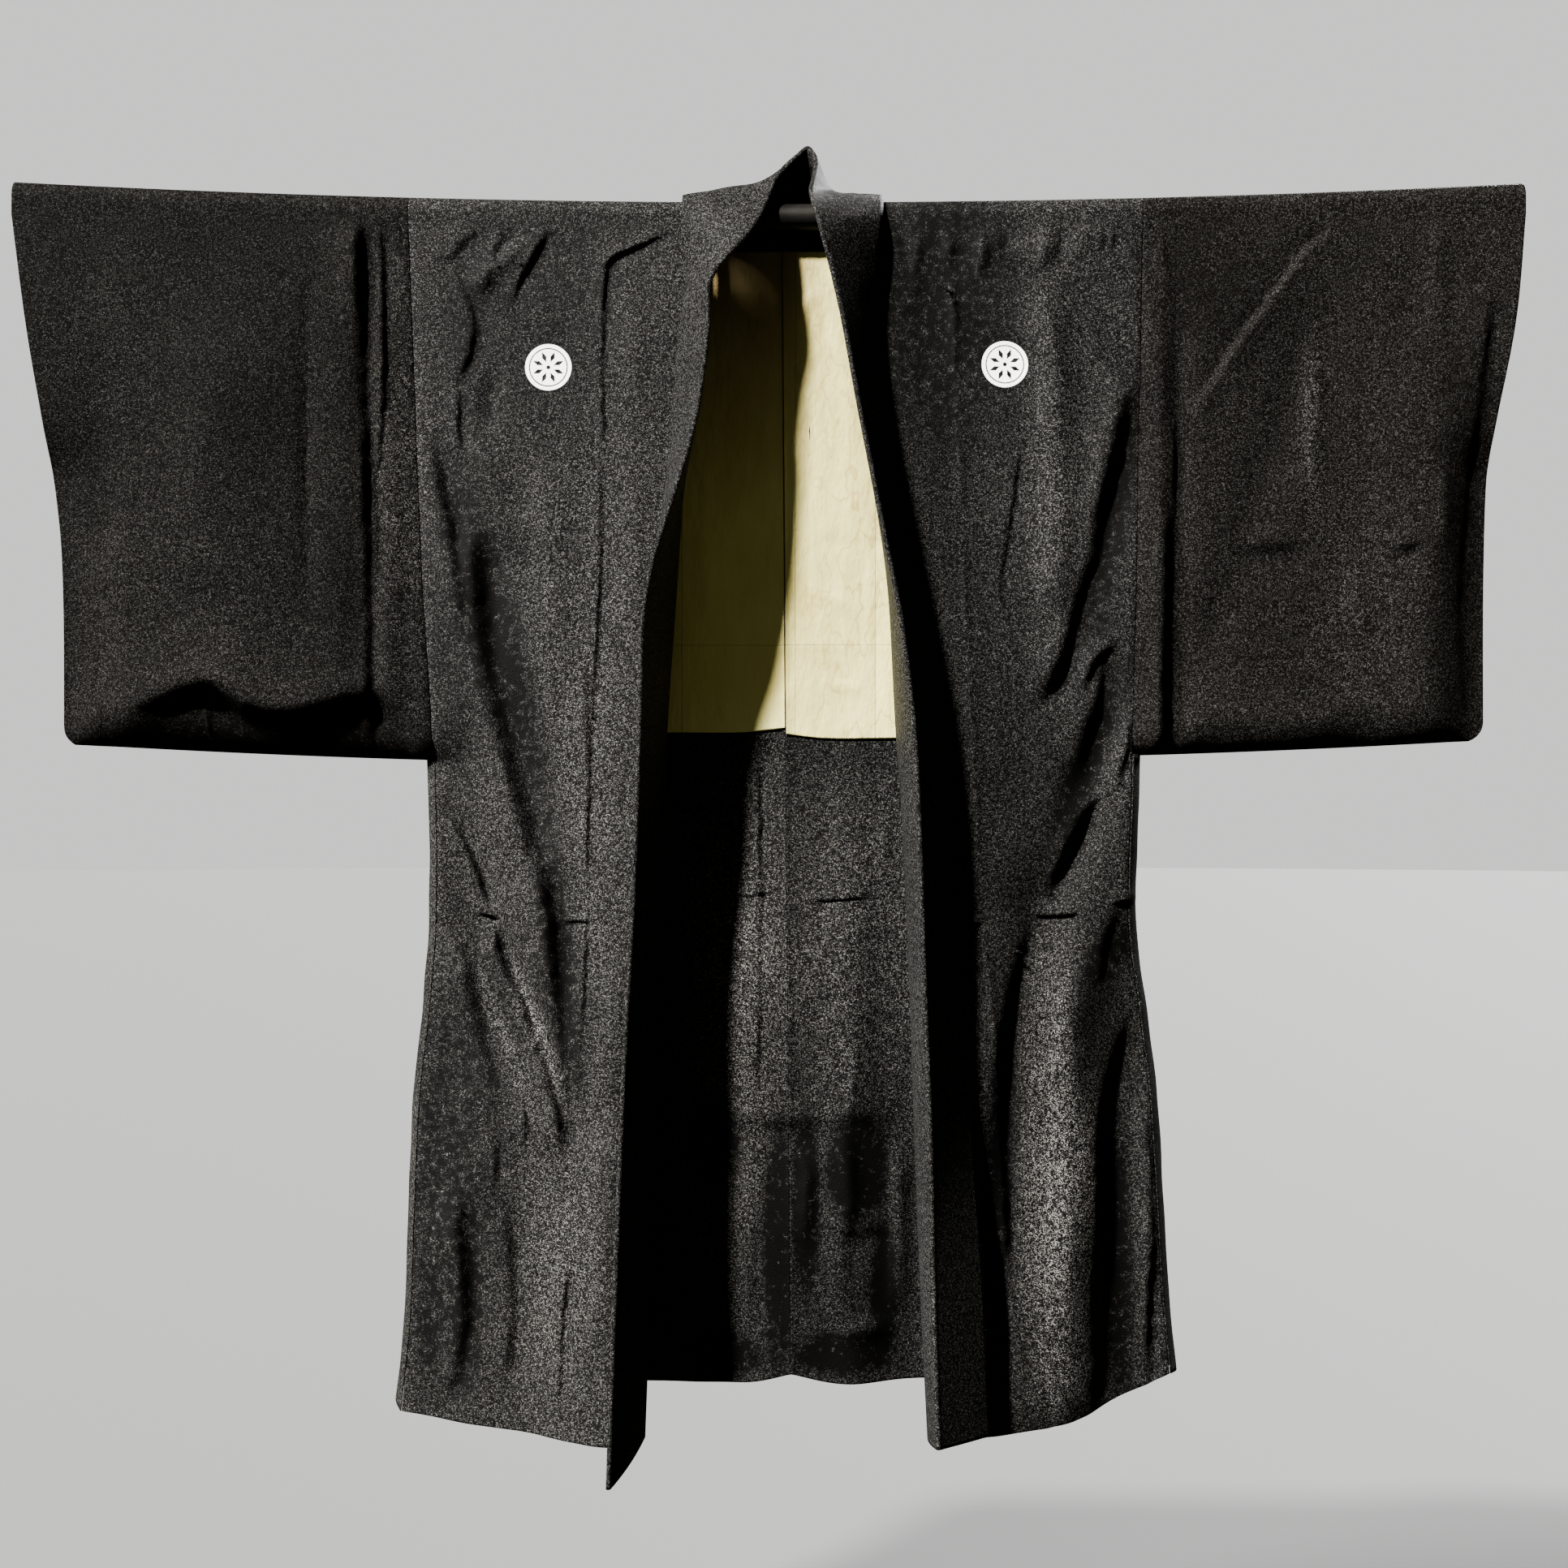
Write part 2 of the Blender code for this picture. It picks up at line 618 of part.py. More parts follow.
def collar_section(seam, fold, edge, belly, crown, onward):
    """The points across the collar: seam, inner half, round fold, outer half, edge."""
    tip = (fold - (seam + edge) / 2).normalized()
    across = tip.cross(onward).normalized()
    centre = fold - tip * COLLAR_FOLD_RADIUS
    inner_end = centre - across * COLLAR_FOLD_RADIUS
    middle = (seam + inner_end) / 2 + belly
    seam = clear_of_rod(seam)
    inner = [seam]
    outer = [edge]
    for i in range(1, COLLAR_HALF_STEPS + 1):
        t = i / COLLAR_HALF_STEPS
        point = seam * (1 - t) ** 2 + middle * 2 * t * (1 - t) + inner_end * t**2
        point = clear_of_rod(point)
        inner.append(point)
        apart = (edge - seam) * (1 - t) + across * (2 * COLLAR_FOLD_RADIUS * t)
        lift = (across * COLLAR_LIFT + crown) * math.sin(math.pi * t)
        outer.append(point + apart + lift)
    turn = []
    for i in range(1, COLLAR_FOLD_STEPS):
        angle = math.pi * i / COLLAR_FOLD_STEPS
        turn.append(
            centre
            - across * COLLAR_FOLD_RADIUS * math.cos(angle)
            + tip * COLLAR_FOLD_RADIUS * math.sin(angle)
        )
    return inner + turn + outer[::-1]


def collar():
    """The folded collar band, from the left hem round the neck to the right hem."""
    rows = [front_band_row("left", row) for row in LEFT_BAND]
    rows += list(NECK)
    rows += [front_band_row("right", row) for row in RIGHT_BAND]
    lines = []
    for span in range(len(rows) - 1):
        length = (Vector(rows[span + 1].fold) - Vector(rows[span].fold)).length
        at_neck = len(LEFT_BAND) <= span < len(LEFT_BAND) + len(NECK)
        steps = max(1, round(length / (COLLAR_NECK_ROW if at_neck else COLLAR_FRONT_ROW)))
        ends = 1 if span == len(rows) - 2 else 0
        for i in range(steps + ends):
            lines.append([spline(rows, column, span, i / steps) for column in NeckRow._fields])
    grid = []
    fold_line = NeckRow._fields.index("fold")
    for i, line in enumerate(lines):
        before, after = lines[max(i - 1, 0)], lines[min(i + 1, len(lines) - 1)]
        grid.append(collar_section(*line, after[fold_line] - before[fold_line]))
    return cloth("collar", grid, COLLAR_CLOTH, BLACK_SILK)


def rod():
    """The round rod through both sleeves, bowed a little by the weight on it."""
    curve = bpy.data.curves.new("rod", "CURVE")
    curve.dimensions = "3D"
    curve.bevel_depth = ROD_RADIUS * MM
    curve.bevel_resolution = ROD_QUARTER_STEPS
    curve.use_fill_caps = True
    line = curve.splines.new("POLY")
    line.points.add(ROD_POINTS - 1)
    for i, point in enumerate(line.points):
        x = blend(-ROD_HALF_LENGTH, ROD_HALF_LENGTH, i / (ROD_POINTS - 1))
        point.co = (x * MM, 0.0, rod_rise(x) * MM, 1.0)
    piece = bpy.data.objects.new("rod", curve)
    garment.objects.link(piece)
    curve.materials.append(finish("rod", BLACK_LACQUER, LACQUER_ROUGHNESS))
    return piece


# ---------------------------------------------------------------- assembly

for leftover in list(bpy.data.objects):
    bpy.data.objects.remove(leftover)

garment = bpy.data.collections.new("haori_jacket")
bpy.context.scene.collection.children.link(garment)

rod()
for hand in ("left", "right"):
    body(hand)
    sleeve(hand)
    gusset(hand)
    lining(hand)
collar()
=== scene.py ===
"""Looks for a formal haori jacket that hangs open on a bowed rod.

Each cloth piece is a thin shell on the form of its solid, with finer creases, rolled
seams and a procedural finish.  Garment sizes are in millimetres and become metres
where a mesh is made.  X runs to the right of someone who faces the open front, Y away
from them and Z up; the origin is the middle of the rod's axis.

Words used below
    drop    how far down from the rod's axis, measured along Z
    out     how far a wall of the garment hangs in front of or behind the rod's axis
    side    left or right, as seen from the front
    wall    the front or the back of the garment
"""

from __future__ import annotations

import logging
import math
from collections.abc import Callable, Iterable, Sequence
from dataclasses import dataclass, field
from enum import Enum
from functools import cached_property
from typing import Any, NamedTuple

import bmesh
import bpy
import numpy as np
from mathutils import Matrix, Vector, noise


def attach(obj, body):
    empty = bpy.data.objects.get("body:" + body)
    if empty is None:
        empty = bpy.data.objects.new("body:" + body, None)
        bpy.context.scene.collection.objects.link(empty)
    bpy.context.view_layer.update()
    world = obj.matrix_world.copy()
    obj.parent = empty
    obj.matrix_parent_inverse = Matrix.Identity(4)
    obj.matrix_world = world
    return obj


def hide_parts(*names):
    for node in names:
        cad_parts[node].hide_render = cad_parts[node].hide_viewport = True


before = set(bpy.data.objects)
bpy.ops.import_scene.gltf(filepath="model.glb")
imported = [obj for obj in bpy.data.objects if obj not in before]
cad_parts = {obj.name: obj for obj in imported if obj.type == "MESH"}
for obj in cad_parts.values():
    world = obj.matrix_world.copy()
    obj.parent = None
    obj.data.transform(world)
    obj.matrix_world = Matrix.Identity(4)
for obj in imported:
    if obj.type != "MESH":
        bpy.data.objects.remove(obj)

log = logging.getLogger("haori")

MM = 0.001
BODY = "root"

Array = np.ndarray
Colour = tuple[float, float, float]
Point = tuple[float, float]

HALVINGS = 2  # how often a cell may be halved where the cloth bends
MOST_BEND = 0.17  # how far a cell's edge may stand off the cloth before it is halved
CREASE_STEPS = 6  # straight runs to each span of a crease's path
CREASE_REACH = 4.0  # how many widths away a crease still moves the cloth
CREASE_TAPER = 45.0  # the length over which a crease starts, and ends
CREASE_ENDS = 2.5  # on a short crease, how much longer it is than each of its ends
CREASE_CHANGE = 0.3  # how much a crease's height changes along it
CREASE_CHANGE_LENGTH = 31.0  # the length of one radian of that change


# ------------ named options


class Side(Enum):
    """A side of the garment, with the sign of its X."""

    LEFT = -1.0
    RIGHT = 1.0

    @property
    def word(self) -> str:
        """The side as it stands in a piece's name."""
        return self.name.lower()


class Wall(Enum):
    """A wall of the garment, with the sign of its Y."""

    FRONT = -1.0
    BACK = 1.0


class Press(Enum):
    """How a crease is pressed into the cloth."""

    SOFT = "soft"
    SHARP = "sharp"
    LAPPED = "lapped"


# ------------ shader nodes


class Signal:
    """A shader socket that can stand in plain arithmetic."""

    def __init__(self, paint: Paint, socket: bpy.types.NodeSocket) -> None:
        """Keep the node tree that new nodes join, and the output socket."""
        self.paint = paint
        self.socket = socket

    def __add__(self, other: Value) -> Signal:
        """Sum of two values."""
        return self.paint.maths("ADD", self, other)

    def __radd__(self, other: Value) -> Signal:
        """Sum of two values."""
        return self.paint.maths("ADD", other, self)

    def __sub__(self, other: Value) -> Signal:
        """This value less another."""
        return self.paint.maths("SUBTRACT", self, other)

    def __rsub__(self, other: Value) -> Signal:
        """Another value less this one."""
        return self.paint.maths("SUBTRACT", other, self)

    def __mul__(self, other: Value) -> Signal:
        """Product of two values."""
        return self.paint.maths("MULTIPLY", self, other)

    def __rmul__(self, other: Value) -> Signal:
        """Product of two values."""
        return self.paint.maths("MULTIPLY", other, self)

    def __truediv__(self, other: Value) -> Signal:
        """This value over another."""
        return self.paint.maths("DIVIDE", self, other)

    def __pow__(self, other: Value) -> Signal:
        """This value to a power."""
        return self.paint.maths("POWER", self, other)

    def __abs__(self) -> Signal:
        """This value without its sign."""
        return self.paint.maths("ABSOLUTE", self, 0.0)

    def under(self, limit: Value, softness: float) -> Signal:
        """One where this value is under a limit, nought above it, with a soft edge."""
        return ((limit - self) / softness + 0.5).held()

    def stepped(self, step: Step) -> Signal:
        """This value made steeper, and kept between nought and one."""
        return step.of(self).held()

    def held(self) -> Signal:
        """This value kept between nought and one."""
        return self.paint.add("ShaderNodeClamp", {}, {"Value": self})


Value = Signal | float


class Step(NamedTuple):
    """How a value is made steeper: what it is multiplied by, and what is taken off."""

    gain: float
    less: float

    def of(self, value: Signal) -> Signal:
        """The value, made steeper."""
        return value * self.gain - self.less


class Line(NamedTuple):
    """A thin line: how strongly it shows, half its width and the softness of its edges."""

    strength: float
    half_width: float
    softness: float

    def mask(self, off: Signal) -> Signal:
        """Where the line is, from how far the point is off its middle."""
        return self.strength * abs(off).under(self.half_width, self.softness)


class Noise(NamedTuple):
    """Smooth noise about one half: features in a metre, finer layers and how the axes scale."""

    scale: float
    detail: float
    roughness: float = 0.5
    axes: tuple[float, float, float] = (1.0, 1.0, 1.0)


class Paint:
    """The node tree of one finish, or of the surroundings."""

    def __init__(self, owner: bpy.types.ID, shader: str = "Principled BSDF") -> None:
        """Start a node tree with its one shader.

        Args:
            owner: The new material or surroundings.
            shader: The name of the shader that it starts with.
        """
        owner.use_nodes = True
        self.material = owner
        self.tree = owner.node_tree
        self.shader = self.tree.nodes[shader]

    def feed(self, socket: bpy.types.NodeSocket, value: Any) -> None:
        """Set a socket to a value, or link a signal to it.

        Args:
            socket: The input socket.
            value: A signal, a number, or a colour or vector.
        """
        if isinstance(value, Signal):
            self.tree.links.new(value.socket, socket)
        elif isinstance(value, tuple) and socket.type == "RGBA":
            socket.default_value = (*value, 1.0)
        else:
            socket.default_value = value

    def add(
        self, kind: str, settings: dict[str, Any], sockets: dict[Any, Any], output: Any = 0
    ) -> Signal:
        """Add a node.

        Args:
            kind: The node's type.
            settings: What is set on the node first.
            sockets: The value or signal of each input socket, by name or number.
            output: The output socket to return, by name or number.

        Returns:
            The signal of that output.
        """
        node = self.tree.nodes.new(kind)
        for name, setting in settings.items():
            setattr(node, name, setting)
        for name, value in sockets.items():
            self.feed(node.inputs[name], value)
        return Signal(self, node.outputs[output])

    def maths(self, operation: str, first: Value, second: Value) -> Signal:
        """A Math node's result."""
        return self.add("ShaderNodeMath", {"operation": operation}, {0: first, 1: second})

    def mix(self, amount: Value, first: Signal | Colour, second: Signal | Colour) -> Signal:
        """The first colour where the amount is nought, the second where it is one."""
        sockets = {"Factor": amount, 6: first, 7: second}
        return self.add("ShaderNodeMix", {"data_type": "RGBA"}, sockets, output=2)

    def place(self) -> Signal:
        """The point on the piece, in metres."""
        return self.add("ShaderNodeTexCoord", {}, {}, output="Object")

    def millimetres(self) -> tuple[Signal, Signal, Signal]:
        """The point on the piece as its X, Y and Z, in millimetres."""
        point = self.add("ShaderNodeSeparateXYZ", {}, {0: self.place()})
        return tuple(Signal(self, output) / MM for output in point.socket.node.outputs)

    def cloud(self, pattern: Noise) -> Signal:
        """Read noise at the point on the piece.

        Args:
            pattern: Which noise.

        Returns:
            The noise.
        """
        scale, detail, roughness, axes = pattern
        at = self.add("ShaderNodeVectorMath", {"operation": "MULTIPLY"}, {0: self.place(), 1: axes})
        sockets = {"Vector": at, "Scale": scale, "Detail": detail, "Roughness": roughness}
        return self.add("ShaderNodeTexNoise", {}, sockets)

    def bump(self, height: Signal, depth: float, strength: float) -> Signal:
        """A normal from a height, where one stands for this depth in metres."""
        sockets = {"Strength": strength, "Distance": depth, "Height": height}
        return self.add("ShaderNodeBump", {}, sockets)

    def finish(self, values: dict[str, Any]) -> bpy.types.ID:
        """Feed the shader's sockets.

        Args:
            values: What each socket is given, by its name.

        Returns:
            The finished material, or the surroundings.
        """
        for name, value in values.items():
            self.feed(self.shader.inputs[name], value)
        return self.material


# ------------ finishes


@dataclass(frozen=True)
class Crest:
    """A plain dyed roundel: a ring round eight slender lozenges.

    Attributes:
        across: The centre's X, in millimetres.
        drop: How far down the centre is.
        radius: The roundel's radius.
        ring: The radius of the dark line inside the rim.
        ring_width: That line's width.
        lozenges: How many lozenges there are.
        lozenge_middle: How far from the centre the lozenges are widest.
        lozenge_length: Half their length.
        lozenge_width: Half their width.
        hub: The radius of the dark dot in the middle.
        edge: The softness of every edge.
    """

    across: float
    drop: float
    radius: float = 18.9
    ring: float = 15.4
    ring_width: float = 1.1
    lozenges: int = 8
    lozenge_middle: float = 9.0
    lozenge_length: float = 4.6
    lozenge_width: float = 1.9
    hub: float = 1.7
    edge: float = 0.5

    def masks(self, paint: Paint) -> tuple[Signal, Signal]:
        """Where the roundel is, and where it is white.

        Args:
            paint: The finish it is dyed into.

        Returns:
            The disc's mask and the white cloth's mask.
        """
        x, y, z = paint.millimetres()
        aside, above = x - self.across, z + self.drop
        away = (aside * aside + above * above) ** 0.5
        disc = away.under(self.radius, self.edge) * y.under(0.0, self.edge)
        line = abs(away - self.ring).under(self.ring_width / 2, self.edge)
        turn = paint.maths("ARCTAN2", above, aside) * (self.lozenges / math.tau)
        spoke = abs(paint.maths("FRACT", turn + self.lozenges, 0.0) - 0.5)
        sideways = spoke * away * (math.tau / self.lozenges)
        endways = abs(away - self.lozenge_middle)
        reach = sideways / self.lozenge_width + endways / self.lozenge_length
        lozenge = reach.under(1.0, self.edge / self.lozenge_width)
        dot = away.under(self.hub, self.edge)
        dark = (line + lozenge + dot).held()
        return disc, disc * (1 - dark)


@dataclass(frozen=True)
class LightPatch:
    """A soft-edged patch of painted light, or of painted shade where its amount is under nought.

    Attributes:
        across: The middle's X, in millimetres.
        drop: How far down the middle is.
        width: Half the patch's width.
        length: Half its length.
        nap: How much paler it is painted, or darker, as painted shade, where this is under nought.
        lean: How far the patch moves to the right for each millimetre down.
        inner: Whether only the cloth's face towards the front opening has it.
    """

    across: float
    drop: float
    width: float
    length: float
    nap: float
    lean: float = 0.0
    inner: bool = False

    def mask(self, across: Signal, down: Signal, facing: Signal) -> Signal:
        """How much this patch of painted light or painted shade changes the glint.

        Args:
            across: The point's X, in millimetres.
            down: How far down the point is, in millimetres.
            facing: One on a face that is turned to the front.

        Returns:
            The change, greatest in the middle and nought outside the patch.
        """
        along = down * (1 / self.length) - self.drop / self.length
        aside = across * (1 / self.width) - self.across / self.width
        if self.lean:
            aside = aside - along * (self.lean * self.length / self.width)
        inside = (1.0 - (along * along + aside * aside)).held()
        change = inside * inside * self.nap
        return change * facing if self.inner else change


@dataclass(frozen=True)
class CrepeSilk:
    """Black crepe silk with a pebbled face, its glint painted on as small pale flecks.

    Attributes:
        name: The material's name.
        tone: How light the piece is painted against the left front: painted shade.
        ground: The darkest cloth.
        wear_and_shade: The cloth where it has greyed a little.
        fleck: The pale colour painted on chosen grains: a painted glint.
        dyed: The crest's white.
        crest: The roundel on the front, if there is one.
        light_patches: Where light and shade are painted, by making the glint stronger or weaker.
        grain: The crepe's grain.
        clumps: How the painted glint gathers in clumps.
        patches: Where the cloth has greyed.
        drift: The weave's slow change from thread to thread.
        patch_rag: Noise that makes the edge of each patch of painted light or shade ragged.
        grain_step: Picks the grains that are painted with the glint.
        clump_step: Picks the clumps that do.
        patch_step: Picks the greyed patches.
        patch_glint: How much of the glint each patch has.
        patch_rag_step: How that noise breaks up a painted patch.
        nap_at_rest: The share of the painted glint that is left where no light or shade is painted.
        facing_softness: How gently an inner patch ends where the cloth turns away.
        grain_depth: How deep the grain is, in metres.
        grain_strength: How much of that depth shows.
        drift_height: How high the weave stands, against the grain.
        crest_height: How high the crest stands, against the grain.
        roughness: The plain cloth's roughness.
        drift_roughness: How much the weave changes it.
        glint_roughness: How much smoother a glint is.
        gloss: How strong its gloss is.
        sheen: How strong the nap's sheen is.
        sheen_roughness: How broad that sheen is.
        sheen_tint: Its colour.
    """

    name: str
    tone: float = 1.0
    ground: Colour = (0.0012, 0.0012, 0.0011)
    wear_and_shade: Colour = (0.0024, 0.0023, 0.0021)
    fleck: Colour = (0.172, 0.168, 0.158)
    dyed: Colour = (0.88, 0.87, 0.80)
    crest: Crest | None = None
    light_patches: tuple[LightPatch, ...] = ()
    grain: Noise = Noise(1020.0, 2.0, 0.6, (1.0, 1.0, 1.25))
    clumps: Noise = Noise(1020.0 / 2.2, 2.0, 0.6)
    patches: Noise = Noise(7.0, 3.0, 0.55)
    drift: Noise = Noise(28.0, 2.0, 0.5, (1.0, 1.0, 0.25))
    patch_rag: Noise = Noise(150.0, 3.0, 0.7)
    grain_step: Step = Step(7.5, 3.75)
    clump_step: Step = Step(4.8, 1.8)
    patch_step: Step = Step(1.6, 0.4)
    patch_glint: Step = Step(0.6, -0.4)
    patch_rag_step: Step = Step(3.0, 1.0)
    nap_at_rest: float = 0.5
    facing_softness: float = 0.3
    grain_depth: float = 0.0008
    grain_strength: float = 0.8
    drift_height: float = 0.12
    crest_height: float = 0.15
    roughness: float = 0.5
    drift_roughness: float = 0.12
    glint_roughness: float = 0.16
    gloss: float = 0.012
    sheen: float = 0.0024
    sheen_roughness: float = 0.45
    sheen_tint: Colour = (0.75, 0.78, 0.82)

    def material(self) -> bpy.types.Material:
        """Make the finish.

        Returns:
            The material.
        """
        paint = Paint(bpy.data.materials.new(self.name))
        # Each piece's colours are scaled by its own factor: lit and shaded copies of one silk,
        # painted shade.
        ground, wear_and_shade, fleck = (
            tuple(self.tone * part for part in colour)
            for colour in (self.ground, self.wear_and_shade, self.fleck)
        )
        grain, patches, drift, clumps = (
            paint.cloud(pattern)
            for pattern in (self.grain, self.patches, self.drift, self.clumps)
        )
        # Pale flecks on picked grains are a painted glint, scaled by painted light and shade.
        glint = grain.stepped(self.grain_step) * clumps.stepped(self.clump_step)
        glint = glint * self.patch_glint.of(patches) * self.nap(paint)
        colour = paint.mix(patches.stepped(self.patch_step), ground, wear_and_shade)
        colour = paint.mix(glint, colour, fleck)
        height = grain + self.drift_height * drift
        if self.crest:
            disc, white = self.crest.masks(paint)
            colour = paint.mix(white, colour, self.dyed)
            height = height + self.crest_height * disc
        weave = self.drift_roughness * (drift - 0.5)
        return paint.finish(
            {
                "Base Color": colour,
                "Roughness": self.roughness + weave - self.glint_roughness * glint,
                "Normal": paint.bump(height, self.grain_depth, self.grain_strength),
                "Sheen Weight": self.sheen,
                "Sheen Roughness": self.sheen_roughness,
                "Sheen Tint": self.sheen_tint,
                "Specular IOR Level": self.gloss,
            }
        )

    def nap(self, paint: Paint) -> Value:
        """How much painted glint the painted light and shade leave, ragged at each patch's edge.

        Args:
            paint: The finish.

        Returns:
            The share, the same all over where no light or shade is painted.
        """
        if not self.light_patches:
            return self.nap_at_rest
        across, _, up = paint.millimetres()
        down = 0.0 - up
        turned = paint.add("ShaderNodeTexCoord", {}, {}, output="Normal")
        turned = paint.add("ShaderNodeSeparateXYZ", {}, {0: turned}, output="Y")
        facing = turned.under(0.0, self.facing_softness)
        # Each patch paints light or shade by making the glint stronger or weaker.
        change = sum(rub.mask(across, down, facing) for rub in self.light_patches)
        change = change * self.patch_rag_step.of(paint.cloud(self.patch_rag))
        return paint.maths("MAXIMUM", self.nap_at_rest + change, 0.0)


@dataclass(frozen=True)
class LiningSilk:
    """Cream plain-weave silk, a little yellowed and finely crinkled.

    Attributes:
        name: The material's name.
        pale: The cleanest cloth.
        yellowed: The cloth where it has aged.
        painted_crease_shade: The painted shade of its fine sharp creases.
        threads: The weave.
        crinkles: The fine crinkles.
        age: Where it has yellowed.
        folds: Thin lines of painted crease shade run where this is one half.
        age_step: Picks the yellowed cloth.
        age_roughness: How much rougher it is.
        crack: Those lines of painted crease shade.
        crack_side: How they grow in number to the right.
        crinkle_depth: How deep the fine crinkles are, in metres.
        crinkle_strength: How much of that depth shows.
        roughness: The cloth's roughness.
        gloss: How strong its gloss is.
        sheen: How strong its sheen is.
        thread_shade: The colour in its seams.
        neck_painted_shadow: The brown, painted shadow under the collar at the neck.
        seams: How far across each line of stitches is, in millimetres.
        seam_lean: How far the centre seam leans for each millimetre down.
        hem_fold: How far down the turned hem's edge is, in millimetres.
        centre_line: How the centre seam shows.
        seam_line: How a line of stitches shows.
        hem_line: How the turned hem's edge shows.
        thread_height: How high the weave stands, against the crinkles.
        line_depth: How deep the seams are, against the crinkles.
        thread_wear: How the seams' colour follows the crinkles.
        neck_shadow_step: How that painted shadow follows age.
        neck_foot: How far down the painted shadow reaches, in millimetres.
        neck_side: How far to the right it reaches, in millimetres.
        neck_softness: How gently it ends there, in millimetres.
    """

    name: str
    pale: Colour = (0.68, 0.63, 0.235)
    yellowed: Colour = (0.52, 0.41, 0.10)
    painted_crease_shade: Colour = (0.30, 0.20, 0.045)
    threads: Noise = Noise(1500.0, 1.0, 0.5, (1.0, 1.0, 0.35))
    crinkles: Noise = Noise(75.0, 3.0, 0.55, (1.0, 1.0, 0.4))
    age: Noise = Noise(9.0, 3.0, 0.6, (1.0, 1.0, 0.6))
    folds: Noise = Noise(26.0, 3.0, 0.6, (1.0, 1.0, 0.5))
    age_step: Step = Step(2.4, 0.85)
    age_roughness: float = 0.2
    crack: Line = Line(0.6, 0.008, 0.02)
    crack_side: Step = Step(0.012, -0.25)
    crinkle_depth: float = 0.0034
    crinkle_strength: float = 0.7
    roughness: float = 0.48
    gloss: float = 0.4
    sheen: float = 0.1
    thread_shade: Colour = (0.055, 0.040, 0.016)
    neck_painted_shadow: Colour = (0.085, 0.040, 0.010)
    seams: tuple[float, ...] = (-83.0, 11.5, 78.0)
    seam_lean: float = 0.0082
    hem_fold: float = 351.0
    centre_line: Line = Line(1.0, 0.6, 0.5)
    seam_line: Line = Line(0.4, 0.4, 0.5)
    hem_line: Line = Line(0.3, 0.4, 0.6)
    thread_height: float = 0.05
    line_depth: float = 0.2
    thread_wear: Step = Step(1.0, -0.5)
    neck_shadow_step: Step = Step(0.9, -0.5)
    neck_foot: float = 250.0
    neck_side: float = 24.0
    neck_softness: float = 34.0

    def material(self) -> bpy.types.Material:
        """Make the finish.

        Returns:
            The material.
        """
        paint = Paint(bpy.data.materials.new(self.name))
        weave, crinkle, age, folds = (
            paint.cloud(pattern)
            for pattern in (self.threads, self.crinkles, self.age, self.folds)
        )
        x, _, z = paint.millimetres()
        line = self.centre_line.mask(x + self.seam_lean * z)
        for seam in self.seams:
            line = line + self.seam_line.mask(x - seam)
        line = line + self.hem_line.mask(z + self.hem_fold)
        # Painted shadow under the collar: darker and browner towards the top, left of a line.
        wear_and_shade = ((z + self.neck_foot) / self.neck_foot).held() * self.neck_shadow_step.of(age)
        wear_and_shade = wear_and_shade * x.under(self.neck_side, self.neck_softness)
        # Thin dark lines along noise, more of them to the right: painted shade of fine creases.
        crease_shade = self.crack.mask(folds - 0.5) * x.stepped(self.crack_side)
        colour = paint.mix(age.stepped(self.age_step), self.pale, self.yellowed)
        colour = paint.mix(crease_shade, colour, self.painted_crease_shade)
        colour = paint.mix(wear_and_shade.held(), colour, self.neck_painted_shadow)
        threads = (line * self.thread_wear.of(crinkle)).held()
        colour = paint.mix(threads, colour, self.thread_shade)
        height = crinkle + self.thread_height * weave - self.line_depth * line
        return paint.finish(
            {
                "Base Color": colour,
                "Roughness": self.roughness + self.age_roughness * (age - 0.5),
                "Normal": paint.bump(height, self.crinkle_depth, self.crinkle_strength),
                "Sheen Weight": self.sheen,
                "Specular IOR Level": self.gloss,
            }
        )


@dataclass(frozen=True)
class Lacquer:
    """Dark lacquered wood, rubbed a little along its grain.

    Attributes:
        name: The material's name.
        dark: The lacquer.
        rubbed: The lacquer where the wood shows through.
        grain: The wood's grain.
        wear: Where hands have rubbed it.
        wear_step: Picks the rubbed grain.
        grain_depth: How deep the grain is, in metres.
        grain_strength: How much of that depth shows.
        roughness: The freshest lacquer's roughness.
        worn_roughness: How much wear adds to it.
        gloss: How strong its gloss is.
    """

    name: str
    dark: Colour = (0.0030, 0.0028, 0.0026)
    rubbed: Colour = (0.009, 0.007, 0.005)
    grain: Noise = Noise(320.0, 4.0, 0.6, (0.06, 1.0, 1.0))
    wear: Noise = Noise(30.0, 4.0, 0.6)
    wear_step: Step = Step(3.2, 0.75)
    grain_depth: float = 0.0004
    grain_strength: float = 0.5
    roughness: float = 0.24
    wear_and_shade_roughness: float = 0.3
    gloss: float = 0.07

    def material(self) -> bpy.types.Material:
        """Make the finish.

        Returns:
            The material.
        """
        paint = Paint(bpy.data.materials.new(self.name))
        grain, wear = paint.cloud(self.grain), paint.cloud(self.wear)
        return paint.finish(
            {
                "Base Color": paint.mix(
                    (grain * wear).stepped(self.wear_step), self.dark, self.rubbed
                ),
                "Roughness": self.roughness + self.wear_and_shade_roughness * wear,
                "Normal": paint.bump(grain, self.grain_depth, self.grain_strength),
                "Specular IOR Level": self.gloss,
            }
        )


@dataclass(frozen=True)
class PaleFloor:
    """A plain matt floor.

    Attributes:
        name: The material's name.
        shade: The floor's colour.
        roughness: Its roughness.
    """

    name: str
    shade: Colour = (0.0493, 0.0495, 0.0504)
    roughness: float = 0.9

    def material(self) -> bpy.types.Material:
        """The finish as a material."""
        paint = Paint(bpy.data.materials.new(self.name))
        return paint.finish({"Base Color": self.shade, "Roughness": self.roughness})


# ------------ tables


